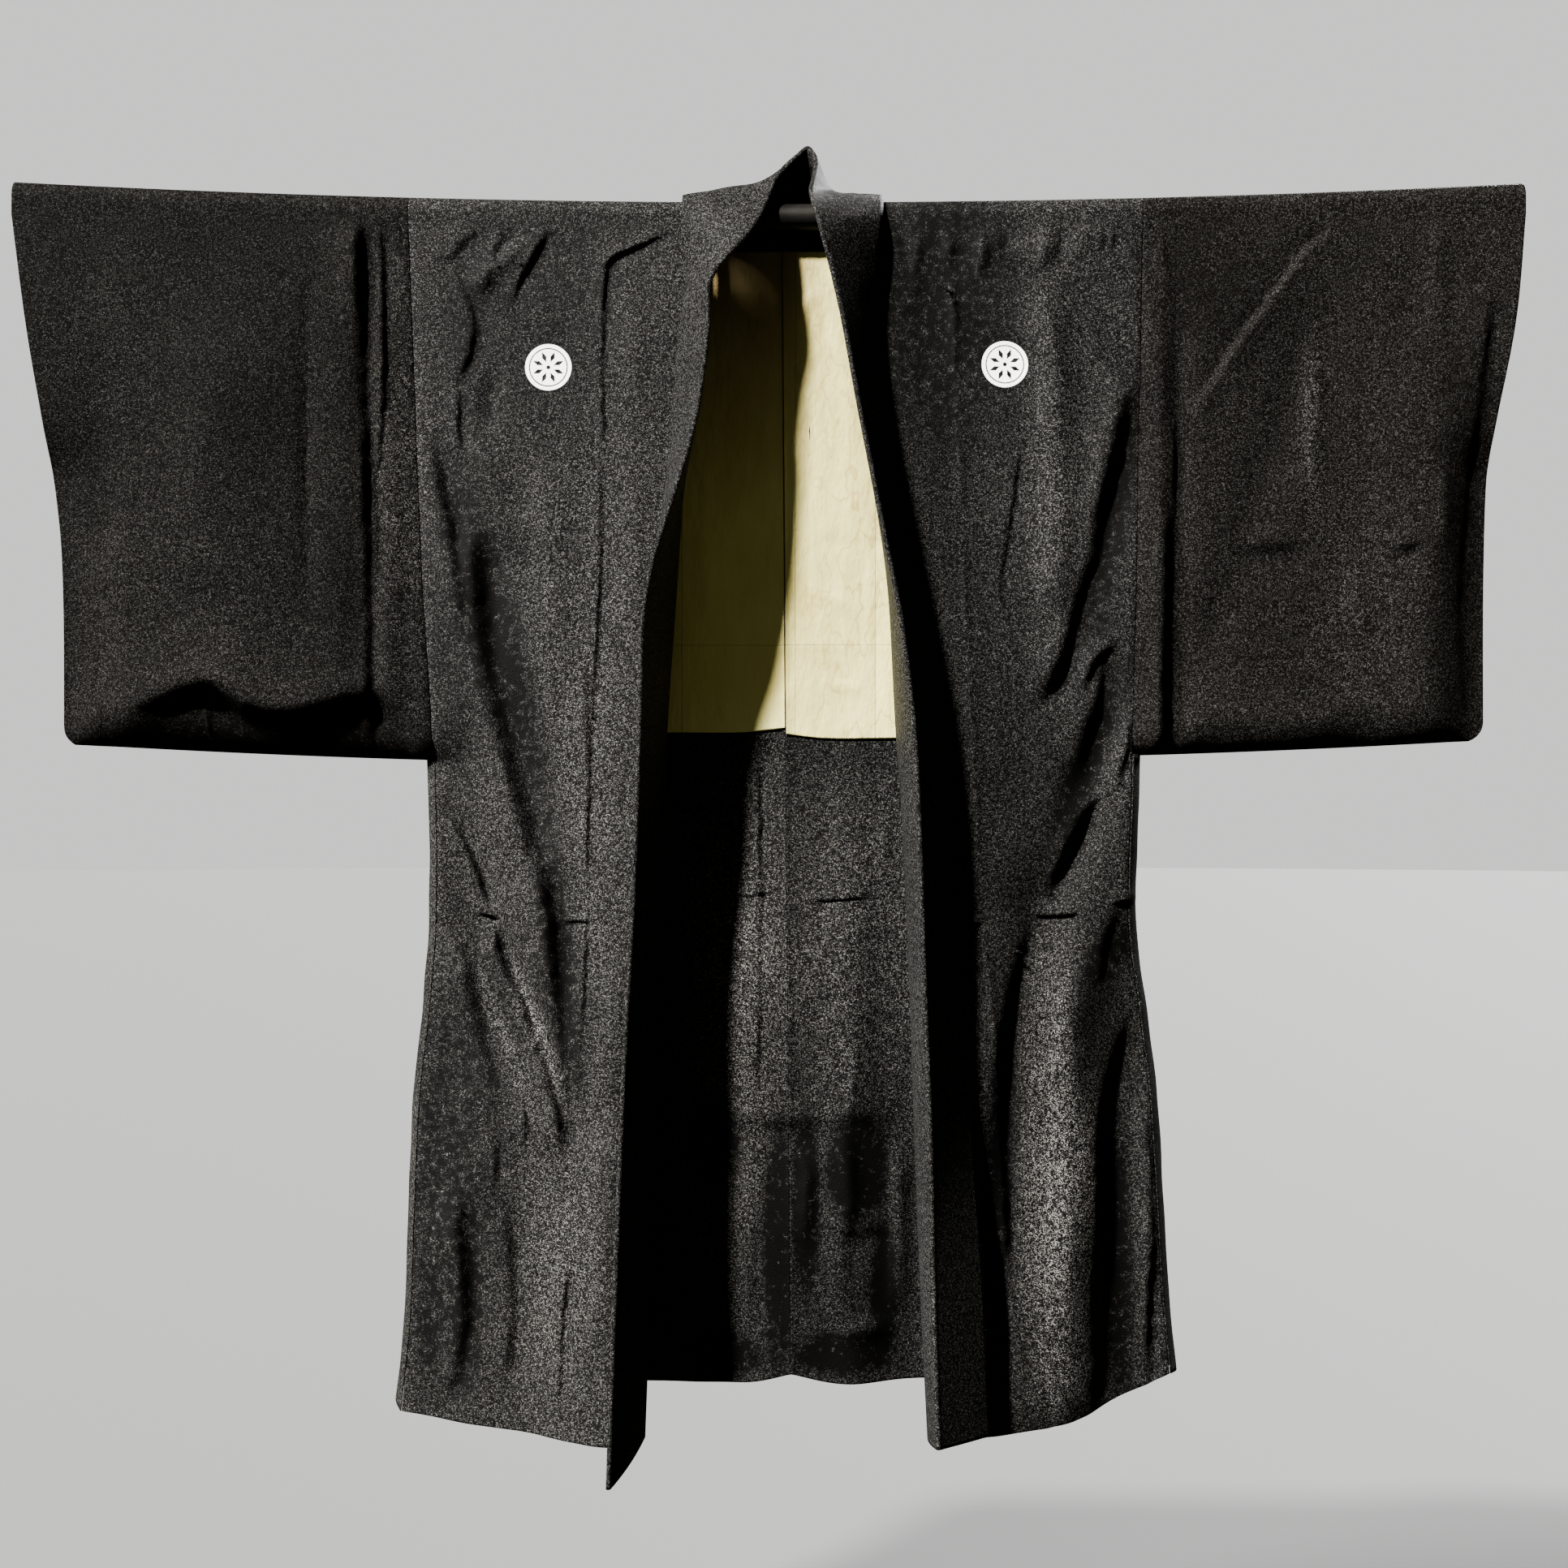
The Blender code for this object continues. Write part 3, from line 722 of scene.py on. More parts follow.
class SideRow(NamedTuple):
    """A distance from the centre on each side, at a drop."""

    drop: float
    left: float
    right: float


class FullnessRow(NamedTuple):
    """Half the space between a sleeve's walls midway along it and at its mouth."""

    drop: float
    left: float
    right: float
    mouth: float


class HemRow(NamedTuple):
    """How far down the hems hang, from the centre or collar to the side."""

    across: float
    left_front: float
    right_front: float
    left_back: float
    right_back: float


class BandRow(NamedTuple):
    """The collar's fold and free edge down a front, from the centre."""

    drop: float
    fold: float
    edge: float


class FootRow(NamedTuple):
    """How much lower than its row each line of the collar ends at the hem."""

    seam: float
    fold: float
    edge: float


class CollarRow(NamedTuple):
    """Points across the collar, with pushes on the middles of its two halves."""

    seam: Sequence[float]
    fold: Sequence[float]
    edge: Sequence[float]
    belly: Sequence[float]
    crown: Sequence[float] = (0, 0, 0)


class Fold(NamedTuple):
    """A large fold down a wall, with its half width and its height."""

    head_x: float
    head_drop: float
    foot_x: float
    foot_drop: float
    width: float
    height: float


def table(kind: Callable[..., Any], *values: Sequence[Any]) -> tuple[Any, ...]:
    """A table whose rows are all of one kind, which names its columns."""
    return tuple(kind(*row) for row in values)


SIDE_SEAM = table(
    SideRow,
    (0, 305.5, 296), (300, 293, 290), (445, 283, 286.5), (575, 281, 283), (650, 286, 292),
    (720, 294, 300), (820, 298, 306), (900, 301, 311), (980, 309, 319),
)

COLLAR_SEAM = table(
    SideRow,
    (0, 73.5, 73.5), (100, 75, 76), (200, 79, 81), (300, 85, 87), (424, 93, 93), (550, 97, 101),
    (690, 101, 105), (860, 105, 111), (985, 109, 117),
)

CUFF_EDGE = table(
    SideRow,
    (0, 630, 609), (90, 617, 599), (190, 602, 582), (280, 592, 577.5), (450, 590, 577),
)

HEMS = table(
    HemRow,
    (0.0, 985, 987, 949, 949), (0.12, 994, 987, 957, 957), (0.3, 992, 986, 958, 957),
    (0.55, 986, 979, 959, 956), (0.8, 980, 962, 961, 953), (1.0, 975, 945, 962, 950),
)

LEFT_BAND = table(
    BandRow,
    (978, 134, 128), (864, 130, 125), (686, 123, 120), (551, 116, 116), (424, 112, 113),
    (340, 110, 112), (291, 102, 106.5), (237, 85, 96), (178, 68, 90.5), (107, 58, 85),
    (68, 57, 80),
)

RIGHT_BAND = table(
    BandRow,
    (96, 48.5, 81.5), (163, 60.6, 88.5), (213, 70.2, 95.5), (262, 79.6, 103.8), (318, 90.9, 116),
    (357, 97, 125), (425, 104.4, 134.4), (498, 107.9, 138.5), (632, 111.9, 144.6),
    (737, 115.5, 151.8), (864, 117.6, 160.3), (975, 120.8, 164.6),
)

COLLAR_FEET = {Side.LEFT: FootRow(7, 33, 22), Side.RIGHT: FootRow(10, 4, 5)}

NECK = table(
    CollarRow,
    ((-74, -12.3, -38), (-43, -62, -45), (-79, -22, -38), (2, -2, 0)),
    ((-73.5, -12.3, -9), (-27, -50, -25), (-81, -23, -8), (2, -4, 4)),
    ((-73, -3, 12.5), (-16, -31, -4), (-81, -5, 17), (0, 4, 12), (0, 0, 1)),
    ((-71.5, 14, 0), (-9, -18, 16), (-80, 20, 8), (0, 20, 22), (0, 0, 3)),
    ((-52, 12.3, -11), (-3, -12, 31), (-64, 26, -18), (0, 22, 16), (0, 3, 7)),
    ((-32, 12.3, -11), (5, -9, 42), (-38, 28, -28), (0, 18, 8), (0, 4, 6)),
    ((-12, 12.3, -11), (14, -7, 51), (-12, 29, -30), (0, 16, 6), (0, 2, 2)),
    ((10, 12.3, -11), (22, -6, 57), (18, 29, -24), (0, 14, 4)),
    ((32, 12.3, -11), (28, -14, 45), (42, 28, -18), (4, 18, 8)),
    ((56, 12.3, -11), (26, -30, 28), (68, 25, -12), (4, 22, 12)),
    ((71.5, 14, 0), (23, -44, 12), (82, 20, 6), (2, 26, 16)),
    ((73, -3, 12.5), (26, -57, -4), (83, -5, 17), (0, 6, 8)),
    ((73.5, -12.3, -10), (31, -64, -24), (82, -23, -10), (-4, -2, 6)),
    ((74, -12.3, -45), (39, -66, -54), (78, -26, -50), (-4, -2, 0)),
)

FOLDS = {
    Wall.FRONT: table(
        Fold,
        (-342, 20, -341, 430, 13, -5), (-325, 30, -322, 430, 12, 4), (-440, 60, -452, 400, 45, 5),
        (310, 60, 309, 440, 10, 3), (325, 60, 323, 440, 11, -4), (452, 60, 345, 360, 22, -3),
        (540, 80, 520, 400, 40, 5), (-276, 494, -165, 780, 20, -7), (-235, 470, -140, 760, 26, 6),
        (-250, 700, -255, 960, 24, 6), (-205, 760, -200, 980, 22, -5),
        (277, 395, 213, 562, 22, -8), (240, 560, 232, 950, 28, 10), (205, 570, 168, 900, 20, -6),
        (290, 560, 275, 940, 20, -7),
    ),
    Wall.BACK: table(
        Fold,
        (-40, 480, -46, 950, 22, 6), (55, 460, 62, 950, 22, -6), (-185, 300, -205, 950, 32, 7),
        (190, 280, 214, 945, 34, 8), (-120, 420, -126, 950, 24, -5), (130, 520, 140, 950, 24, -5),
        (-345, 40, -352, 430, 16, 5), (345, 40, 352, 430, 16, 5), (-470, 60, -462, 400, 34, 5),
        (470, 60, 462, 400, 34, 5),
    ),
}


# ------------ curves and meshes


def blend(start: Any, end: Any, amount: Any) -> Any:
    """The value part of the way from start to end."""
    return start + (end - start) * amount


def ease(amount: Any) -> Any:
    """Nought to one with flat ends."""
    held = np.clip(amount, 0.0, 1.0)
    return held * held * (3.0 - 2.0 * held)


def hermite(start: Any, end: Any, leaving: Any, arriving: Any, t: Any) -> Any:
    """A smooth curve at t of a span, from its values and rises over the span at both ends."""
    return (
        start * (2 * t**3 - 3 * t**2 + 1)
        + end * (3 * t**2 - 2 * t**3)
        + leaving * (t**3 - 2 * t**2 + t)
        + arriving * (t**3 - t**2)
    )


def read(rows: Sequence[Any], place: Any, column: str) -> Array:
    """A table's column, read on a smooth curve along its first column.

    Args:
        rows: The table, with its first column rising.
        place: Where to read it.
        column: The column's name.

    Returns:
        The column's value at each place.
    """
    keys = np.array([row[0] for row in rows], float)
    values = np.array([getattr(row, column) for row in rows], float)
    numbers = np.arange(len(rows))
    before, after = np.maximum(numbers - 1, 0), np.minimum(numbers + 1, len(rows) - 1)
    slopes = (values[after] - values[before]) / (keys[after] - keys[before])
    at = np.clip(np.asarray(place, float), keys[0], keys[-1])
    span = np.clip(np.searchsorted(keys, at, side="right") - 1, 0, len(rows) - 2)
    width = keys[span + 1] - keys[span]
    return hermite(
        values[span],
        values[span + 1],
        slopes[span] * width,
        slopes[span + 1] * width,
        (at - keys[span]) / width,
    )


def spaced(length: float, step: float, edge_steps: Sequence[float] = (1.2, 2.6, 4.4)) -> Array:
    """Even places along a length, with closer ones near both ends.

    Args:
        length: The whole length.
        step: The even spacing.
        edge_steps: How far from each end the closer places are.

    Returns:
        The places as fractions of the length.
    """
    count = max(2, round(length / step))
    even = [i * length / count for i in range(count + 1)]
    near = max(edge_steps, default=0.0) + step / 2
    middle = [place for place in even if near < place < length - near]
    ends = [0.0, *edge_steps]
    places = ends + middle + [length - place for place in reversed(ends)]
    return np.array(places) / length


def wander(x: Array, drop: Array, across: float, down: float, seed: float) -> Array:
    """Gentle noise between minus one and one.

    Args:
        x: Where it is read, across.
        drop: Where it is read, down.
        across: The size of its features across.
        down: The size of its features down.
        seed: A number that gives another pattern.

    Returns:
        The noise at each place.
    """
    pairs = zip(np.ravel(x / across), np.ravel(drop / down))
    values = [noise.noise(Vector((a, b, seed))) for a, b in pairs]
    return np.reshape(values, np.shape(x))


class Waves(NamedTuple):
    """Gentle waves in cloth: their height, their size across and down, and their pattern."""

    height: float
    across: float
    down: float
    seed: float

    def at(self, x: Array, drop: Array, shift: float = 0.0) -> Array:
        """How far the waves move the cloth at each place, in a pattern shifted by a number."""
        return self.height * wander(x, drop, self.across, self.down, self.seed + shift)


def placed(name: str, data: bpy.types.ID) -> bpy.types.Object:
    """Put a new object in the scene.

    Args:
        name: The object's name.
        data: Its mesh, light or camera.

    Returns:
        The object.
    """
    thing = bpy.data.objects.new(name, data)
    bpy.context.scene.collection.objects.link(thing)
    return thing


def thickened(name: str, mesh: bpy.types.Mesh, thickness: float) -> bpy.types.Object:
    """A mesh as a piece of cloth.

    Args:
        name: The piece's name.
        mesh: The cloth's middle.
        thickness: The cloth's thickness, shared evenly by both sides.

    Returns:
        The piece.
    """
    mesh.shade_smooth()
    piece = placed(name, mesh)
    wall = piece.modifiers.new("Thickness", "SOLIDIFY")
    wall.thickness = thickness * MM
    wall.offset = 0.0
    wall.use_even_offset = True
    return piece


def cells(there: Array, closed: bool = False) -> Array:
    """The four-sided faces of a grid.

    Args:
        there: Which of the grid's points are there, as rows by columns.
        closed: Whether each row's end joins its start.

    Returns:
        The faces, by the numbers of the points that are there.
    """
    numbers = np.full(there.shape, -1)
    numbers[there] = np.arange(there.sum())
    ahead = np.roll(numbers, -1, axis=1) if closed else numbers[:, 1:]
    here = numbers if closed else numbers[:, :-1]
    quads = np.stack([here[:-1], ahead[:-1], ahead[1:], here[1:]], axis=-1).reshape(-1, 4)
    return quads[(quads >= 0).all(axis=1)]


def shell(name: str, grid: Array, thickness: float) -> bpy.types.Object:
    """A thin shell on a grid of points.

    Args:
        name: The piece's name.
        grid: Points in millimetres, as rows by columns by three.
        thickness: The cloth's thickness, shared evenly by both sides.

    Returns:
        The piece.
    """
    mesh = bpy.data.meshes.new(name)
    faces = cells(np.ones(grid.shape[:2], bool))
    mesh.from_pydata((grid.reshape(-1, 3) * MM).tolist(), [], faces.tolist())
    return thickened(name, mesh, thickness)


def draped(
    name: str,
    flat: Array,
    faces: Array,
    place: Callable[[Array], Array],
    thickness: float,
) -> bpy.types.Object:
    """A thin shell whose cells are halved wherever the cloth bends within one.

    Args:
        name: The piece's name.
        flat: The cells' corners on the flat cut, which place reads.
        faces: The cells, by the numbers of their corners.
        place: Gives the points in millimetres where places on the cut hang.
        thickness: The cloth's thickness, shared evenly by both sides.

    Returns:
        The piece.
    """
    net = bmesh.new()
    corners = [net.verts.new((*point, 0.0)) for point in flat]
    for face in faces:
        net.faces.new([corners[number] for number in face])
    for _ in range(HALVINGS):
        net.verts.index_update()
        cut = np.array([corner.co[:2] for corner in net.verts])
        ends = np.array([[corner.index for corner in edge.verts] for edge in net.edges])
        hung = place(cut)
        start, end = cut[ends[:, 0]], cut[ends[:, 1]]
        within = np.abs(end - start)[:, 1] < 1.0
        sag = place((start + end) / 2) - (hung[ends[:, 0]] + hung[ends[:, 1]]) / 2
        bent = within & (np.linalg.norm(sag, axis=1) > MOST_BEND)
        for edge, is_bent in zip(net.edges, bent):
            for face in edge.link_faces if is_bent else ():
                face.tag = True
        halved = [
            edge
            for edge, is_within in zip(net.edges, within)
            if is_within and any(face.tag for face in edge.link_faces)
        ]
        bmesh.ops.subdivide_edges(
            net, edges=halved, cuts=1, use_grid_fill=True, quad_corner_type="INNER_VERT"
        )
        for face in net.faces:
            face.tag = False
    cut = np.array([corner.co[:2] for corner in net.verts])
    mesh = bpy.data.meshes.new(name)
    net.to_mesh(mesh)
    net.free()
    mesh.vertices.foreach_set("co", (place(cut) * MM).ravel())
    log.info("%s has %d faces", name, len(mesh.polygons))
    return thickened(name, mesh, thickness)


# ------------ creases


@dataclass(frozen=True)
class Crease:
    """A crease along a path on a wall.

    Attributes:
        path: The (x, drop) points that it runs through.
        width: How wide it is to either side.
        height: How far it stands out, or below nought how deep it is.
        press: Whether it is a soft wave, a pressed line or a step down to the path's
            right, seen from in front along a path that runs down.
        edge: Half the width of that step.
        reach: How wide a step's right side is.
    """

    path: tuple[Point, ...]
    width: float
    height: float
    press: Press = Press.SHARP
    edge: float = 2.0
    reach: float = 0.0

    @cached_property
    def line(self) -> Array:
        """The path on a smooth curve.

        Returns:
            The curve's points, from its start to its end.
        """
        points = np.array(self.path, float)
        before = np.vstack([points[:1], points[:-1]])
        after = np.vstack([points[1:], points[-1:]])
        rises = (after - before) / 2
        curve = [
            hermite(points[i], points[i + 1], rises[i], rises[i + 1], k / CREASE_STEPS)
            for i in range(len(points) - 1)
            for k in range(CREASE_STEPS)
        ]
        return np.array([*curve, points[-1]])

    def push(self, x: Array, drop: Array) -> Array:
        """How far the crease moves the cloth outwards.

        Args:
            x: The places across.
            drop: The places down.

        Returns:
            The push at each place, in millimetres.
        """
        line = self.line
        reach = CREASE_REACH * max(self.width, self.reach)
        low, high = line.min(axis=0) - reach, line.max(axis=0) + reach
        near = (x > low[0]) & (x < high[0]) & (drop > low[1]) & (drop < high[1])
        push = np.zeros_like(x)
        if not near.any():
            return push
        runs = np.diff(line, axis=0)
        lengths = np.hypot(runs[:, 0], runs[:, 1])
        gone = np.concatenate([[0.0], np.cumsum(lengths)])
        offset = np.stack([x[near], drop[near]], axis=-1)[:, None, :] - line[None, :-1]
        t = np.clip((offset * runs).sum(axis=-1) / lengths**2, 0.0, 1.0)
        gap = offset - t[..., None] * runs
        away = np.hypot(gap[..., 0], gap[..., 1])
        best = away.argmin(axis=1)
        picked = np.arange(len(best))
        beside = gap[picked, best] * runs[best, ::-1]
        to_right = np.sign(beside[:, 0] - beside[:, 1])
        along = gone[best] + t[picked, best] * lengths[best]
        away = away[picked, best]
        taper = min(CREASE_TAPER, gone[-1] / CREASE_ENDS)
        fade = ease(along / taper) * ease((gone[-1] - along) / taper)
        change = np.sin(along / CREASE_CHANGE_LENGTH + self.path[0][0])
        uneven = 1 + CREASE_CHANGE * change
        if self.press is Press.SHARP:
            profile = np.exp(-np.sqrt(away**2 + 1.0) / self.width)
        elif self.press is Press.SOFT:
            profile = np.exp(-((away / self.width) ** 2))
        else:
            width = np.where(to_right > 0, self.reach, self.width)
            profile = -to_right * np.tanh(away / self.edge) * np.exp(-away / width)
        push[near] = self.height * fade * uneven * profile
        return push


def lap(height: float, edge: float, width: float, reach: float, *path: Point) -> Crease:
    """A fold that stands up along a path and drops away over an edge to the path's right."""
    return Crease(path, width, height, Press.LAPPED, edge, reach)


def soft(width: float, height: float, *path: Point) -> Crease:
    """A soft wave along a path."""
    return Crease(path, width, height, Press.SOFT)


def sharp(width: float, height: float, *path: Point) -> Crease:
    """A pressed line along a path."""
    return Crease(path, width, height)


# The rows are lap(height, edge, width, reach, points...), where edge is half the width of
# the drop, width the raised side's and reach the low side's, and soft or
# sharp(width, height, points...).  Each point is (x, drop).

FRONT_CREASES = (
    # The storage crease down the left front.
    lap(1.9, 1.1, 8, 10, (-70, 2), (-104, 20), (-138, 37), (-144, 57), (-146, 130), (-145, 204)),
    lap(1.5, 1.3, 9, 9, (-147, 190), (-149, 330), (-154, 414), (-159, 556)),
    lap(2.6, 2.4, 8, 10, (-160, 350), (-158, 410), (-157, 470)),
    lap(1.4, 1.3, 8, 8, (-157, 560), (-162, 700), (-164, 760)),
    lap(3.2, 2.0, 9, 9, (-168, 840), (-175, 892), (-177, 940), (-178, 986)),
    # Slack under the left shoulder.
    lap(3.2, 3.0, 12, 18, (-236, -10), (-252, 14), (-268, 32), (-284, 52)),
    lap(2.8, 2.6, 12, 16, (-272, 36), (-257, 70), (-251, 96), (-258, 124), (-270, 150)),
    soft(7, 3.2, (-200, 12), (-226, 38), (-246, 56), (-268, 80)),
    lap(2.6, 2.8, 10, 12, (-218, -10), (-226, 12), (-236, 40), (-246, 74)),
    lap(2.6, 1.8, 9, 12, (-182, -10), (-196, 22), (-211, 50), (-226, 86)),
    soft(8, -2.4, (-232, 120), (-238, 150), (-240, 190)),
    lap(2.4, 2.0, 9, 9, (-262, 136), (-264, 168), (-259, 204)),
    soft(10, -2.6, (-216, 190), (-210, 222), (-204, 262)),
    soft(9, 2.8, (-256, 182), (-238, 214), (-222, 246)),
    # The broad valley under the left armhole, which runs into the storage crease.
    lap(4.5, 4.5, 12, 20, (-290, 170), (-274, 240), (-264, 300), (-256, 360)),
    lap(10, 8, 18, 34, (-251, 250), (-245, 330), (-237, 385), (-223, 445), (-210, 492),
        (-196, 545)),
    lap(8, 6, 18, 26, (-202, 510), (-187, 575), (-182, 630), (-176, 690), (-171, 735),
        (-166, 778)),
    # Two short deep folds low on the left front, light on both sides.
    lap(6.5, 2.6, 12, 12, (-278, 478), (-259, 514), (-247, 542), (-238, 566), (-228, 584)),
    lap(9, 3.6, 16, 16, (-238, 568), (-226, 613), (-212, 641), (-200, 674), (-190, 703),
        (-180, 736), (-173, 772)),
    lap(7, 8, 20, 16, (-264, 580), (-250, 640), (-236, 700), (-224, 748)),
    lap(2.8, 2.0, 8, 8, (-234, 744), (-230, 768), (-233, 796)),
    lap(2.4, 1.8, 7, 7, (-211, 720), (-206, 740), (-209, 762)),
    lap(9, 7, 18, 16, (-264, 790), (-257, 850), (-254, 900), (-262, 940), (-272, 980)),
    lap(5, 5, 18, 16, (-224, 800), (-217, 880), (-222, 960)),
    # Slack over the left front's middle.
    soft(11, 1.8, (-118, 70), (-121, 220), (-116, 390)),
    soft(14, 2.2, (-190, 190), (-186, 300), (-182, 410)),
    soft(10, 2.4, (-132, 600), (-139, 760), (-150, 940)),
    # The storage crease down the right front.
    sharp(1.8, 2.6, (139, 34), (142, 110), (145, 196), (147, 263)),
    sharp(1.8, 2.6, (146, 250), (152, 363), (156, 446), (158, 492), (164, 582)),
    sharp(2.0, 3.0, (163, 570), (174, 704), (179, 822), (188, 907), (203, 988)),
    # Gathers at the right shoulder.
    soft(5, 3.2, (110, -6), (110, 36), (106, 84)),
    soft(5, 3.4, (137, -10), (138, 16), (136, 48)),
    soft(5, 3.4, (162, -10), (164, 24), (161, 60)),
    lap(4.0, 3.0, 10, 14, (172, -12), (177, 12), (184, 40)),
    soft(5, 3.6, (213, -10), (216, 16), (212, 50)),
    lap(3.6, 2.2, 9, 9, (223, -12), (227, 14), (224, 44)),
    soft(5, 3.2, (243, -12), (245, 14), (240, 44)),
    lap(2.8, 1.8, 7, 7, (261, -12), (264, 12), (260, 38)),
    lap(2.6, 1.8, 7, 7, (273, -12), (273, 12), (269, 40)),
    # The upward-facing diagonal under the right shoulder.
    lap(4.0, 3.0, 16, 16, (282, 146), (257, 113), (232, 80), (208, 50), (180, 10)),
    lap(2.4, 4.0, 18, 18, (262, 196), (236, 150), (206, 110), (180, 84)),
    # The broad light ridge, and the ragged black drop beside it.
    soft(15, 7, (212, 40), (222, 130), (226, 230), (220, 340)),
    lap(2.2, 1.6, 9, 9, (197, 180), (188, 240), (181, 285), (176, 326)),
    sharp(6, 2.8, (172, 290), (182, 350), (198, 388)),
    lap(10, 6, 16, 16, (288, 130), (274, 190), (262, 238), (256, 276), (243, 314), (234, 350),
        (222, 380), (206, 408)),
    lap(4.6, 2.8, 11, 12, (282, 350), (264, 358), (252, 374), (244, 398)),
    lap(9, 5, 14, 14, (266, 350), (259, 396), (249, 428), (242, 470)),
    lap(4, 3, 10, 10, (288, 400), (282, 440), (272, 480)),
    lap(10, 5, 16, 16, (264, 466), (247, 492), (229, 529), (210, 572)),
    # Below the crease from being kept folded: valley and ridge to the hem.
    lap(10, 7, 18, 18, (205, 560), (192, 612), (181, 657), (176, 704), (178, 775), (185, 860)),
    soft(21, 12, (226, 600), (227, 700), (225, 790), (222, 917), (226, 990)),
    lap(6.5, 4, 14, 12, (280, 556), (264, 592), (257, 640)),
    lap(10, 5.5, 16, 16, (286, 646), (267, 700), (259, 740), (258, 799), (254, 870), (250, 930)),
    lap(6.5, 4, 12, 12, (298, 720), (302, 830), (298, 900), (300, 970)),
    lap(8, 7, 16, 18, (260, 890), (254, 935), (250, 990)),
    lap(3.6, 2.2, 10, 10, (186, 895), (203, 950), (222, 994)),
    lap(3.0, 2.0, 9, 9, (204, 890), (222, 945), (242, 992)),
    # The fold across both fronts from being kept folded.
    lap(3, 1.4, 6, 6, (-226, 577), (-238, 573), (-250, 571)),
    lap(1.8, 1.2, 5, 5, (-150, 579), (-166, 577), (-180, 579)),
    lap(3, 1.4, 6, 6, (164, 580), (154, 579), (144, 580)),
    lap(3.6, 1.6, 7, 7, (247, 571), (224, 573), (200, 574)),
    lap(3.4, 1.5, 6, 6, (292, 561), (278, 562), (266, 564)),
    # The left sleeve: two black lines beside the seam, and a pressed line further out.
    lap(9, 4.6, 14, 10, (-346, -20), (-342, 130), (-340, 200), (-338, 270), (-336, 370),
        (-335, 450)),
    lap(4.4, 2.2, 7, 8, (-329, -16), (-325, 90), (-326, 166), (-334, 240)),
    lap(4, 3, 8, 8, (-332, 215), (-330, 270), (-331, 330)),
    sharp(6, -3.4, (-387, 40), (-388, 180), (-386, 344)),
    soft(20, -3, (-556, 96), (-552, 200), (-558, 300)),
    soft(30, 3, (-480, 80), (-476, 200), (-484, 330)),
    # The left sleeve's foot rolls under.
    lap(14, 8, 24, 300, (-262, 456), (-298, 426), (-330, 396), (-398, 412), (-432, 406),
        (-472, 388), (-545, 420), (-625, 452)),
    # The right sleeve.
    lap(3.6, 2.6, 12, 12, (325, 170), (348, 143), (375, 101), (400, 68), (421, 39), (446, 12),
        (462, -12)),
    sharp(4, 3, (310, -6), (312, 40), (311, 84)),
    lap(3.4, 1.8, 8, 8, (322, 160), (321, 210), (320, 268)),
    lap(8, 4.2, 12, 12, (316, 236), (314, 330), (312, 390), (314, 452)),
    soft(7, 3, (434, 92), (436, 160), (433, 248)),
    soft(7, 3, (463, 285), (470, 315), (480, 350)),
    soft(8, 3, (536, -10), (537, 60), (535, 118)),
    soft(8, 3, (540, 190), (541, 240), (539, 290)),
    lap(3, 6, 16, 24, (434, 268), (400, 274), (366, 270)),
    lap(3, 4, 12, 16, (524, 270), (508, 273), (494, 271)),
    lap(5, 4, 12, 12, (580, 60), (574, 120), (566, 190), (560, 250), (556, 330), (562, 420)),
    lap(4, 4, 14, 30, (570, 424), (520, 420), (470, 424), (410, 416), (350, 422), (310, 420)),
)

BACK_CREASES = (
    # Seen inside, under the lining; a step there is seen from the other face.
    lap(-3.2, 2.6, 8, 10, (-20, 424), (-17, 560), (-20, 730)),
    lap(-2.4, 1.6, 7, 7, (14, 491), (44, 522), (72, 556)),
    sharp(3.5, -2.6, (83, 488), (84, 524), (83, 560)),
    lap(-3, 1.6, 6, 6, (-2, 554), (-24, 558), (-47, 561)),
    lap(-3, 1.6, 6, 6, (86, 558), (48, 561), (10, 564)),
    sharp(5, -2.8, (57, 676), (58, 706), (56, 736)),
    lap(-4, 7, 14, 16, (-22, 730), (-16, 790), (-24, 860), (-16, 930)),
    lap(-5, 8, 16, 20, (50, 730), (60, 800), (52, 860), (60, 930)),
    lap(-3, 7, 16, 40, (104, 748), (66, 738), (24, 744), (-56, 740)),
    lap(-2.4, 6, 14, 20, (100, 824), (64, 834), (36, 822)),
    soft(6, -3.5, (18, 750), (20, 800), (17, 856)),
    soft(8, -3, (44, 916), (70, 911), (98, 918)),
    soft(7, -5, (96, 752), (98, 830), (95, 910)),
    sharp(5, -3, (108, 428), (110, 500), (109, 578)),
    sharp(3, -3, (104, 580), (110, 583), (118, 588)),
    # Storage creases down the back lengths.
    sharp(3.5, 2.0, (-150, 30), (-152, 300), (-158, 600), (-166, 930)),
    sharp(3.5, 2.1, (150, 30), (151, 280), (157, 590), (164, 920)),
    lap(5.5, 4, 16, 20, (-286, 430), (-240, 540), (-205, 660), (-190, 780)),
    lap(5.5, 4, 16, 20, (205, 690), (222, 600), (250, 520), (284, 420)),
    lap(4.5, 4.5, 18, 18, (-215, 610), (-232, 740), (-236, 900)),
    lap(4.5, 4.5, 18, 18, (222, 920), (226, 790), (208, 640)),
    lap(2.4, 1.5, 6, 6, (-262, 572), (-190, 566), (-120, 570)),
    lap(2.4, 1.5, 6, 6, (120, 565), (200, 572), (270, 568)),
    lap(5, 3.4, 12, 10, (-340, 400), (-338, 210), (-344, 20)),
    lap(5, 3.4, 12, 10, (338, 20), (334, 200), (337, 410)),
    lap(3.2, 2.6, 12, 12, (-520, 20), (-470, 90), (-420, 170)),
    lap(3.2, 2.6, 12, 12, (540, 10), (480, 100), (430, 190)),
    soft(14, 3, (-470, 230), (-466, 310), (-472, 390)),
    soft(14, 3, (500, 220), (496, 300), (503, 390)),
)

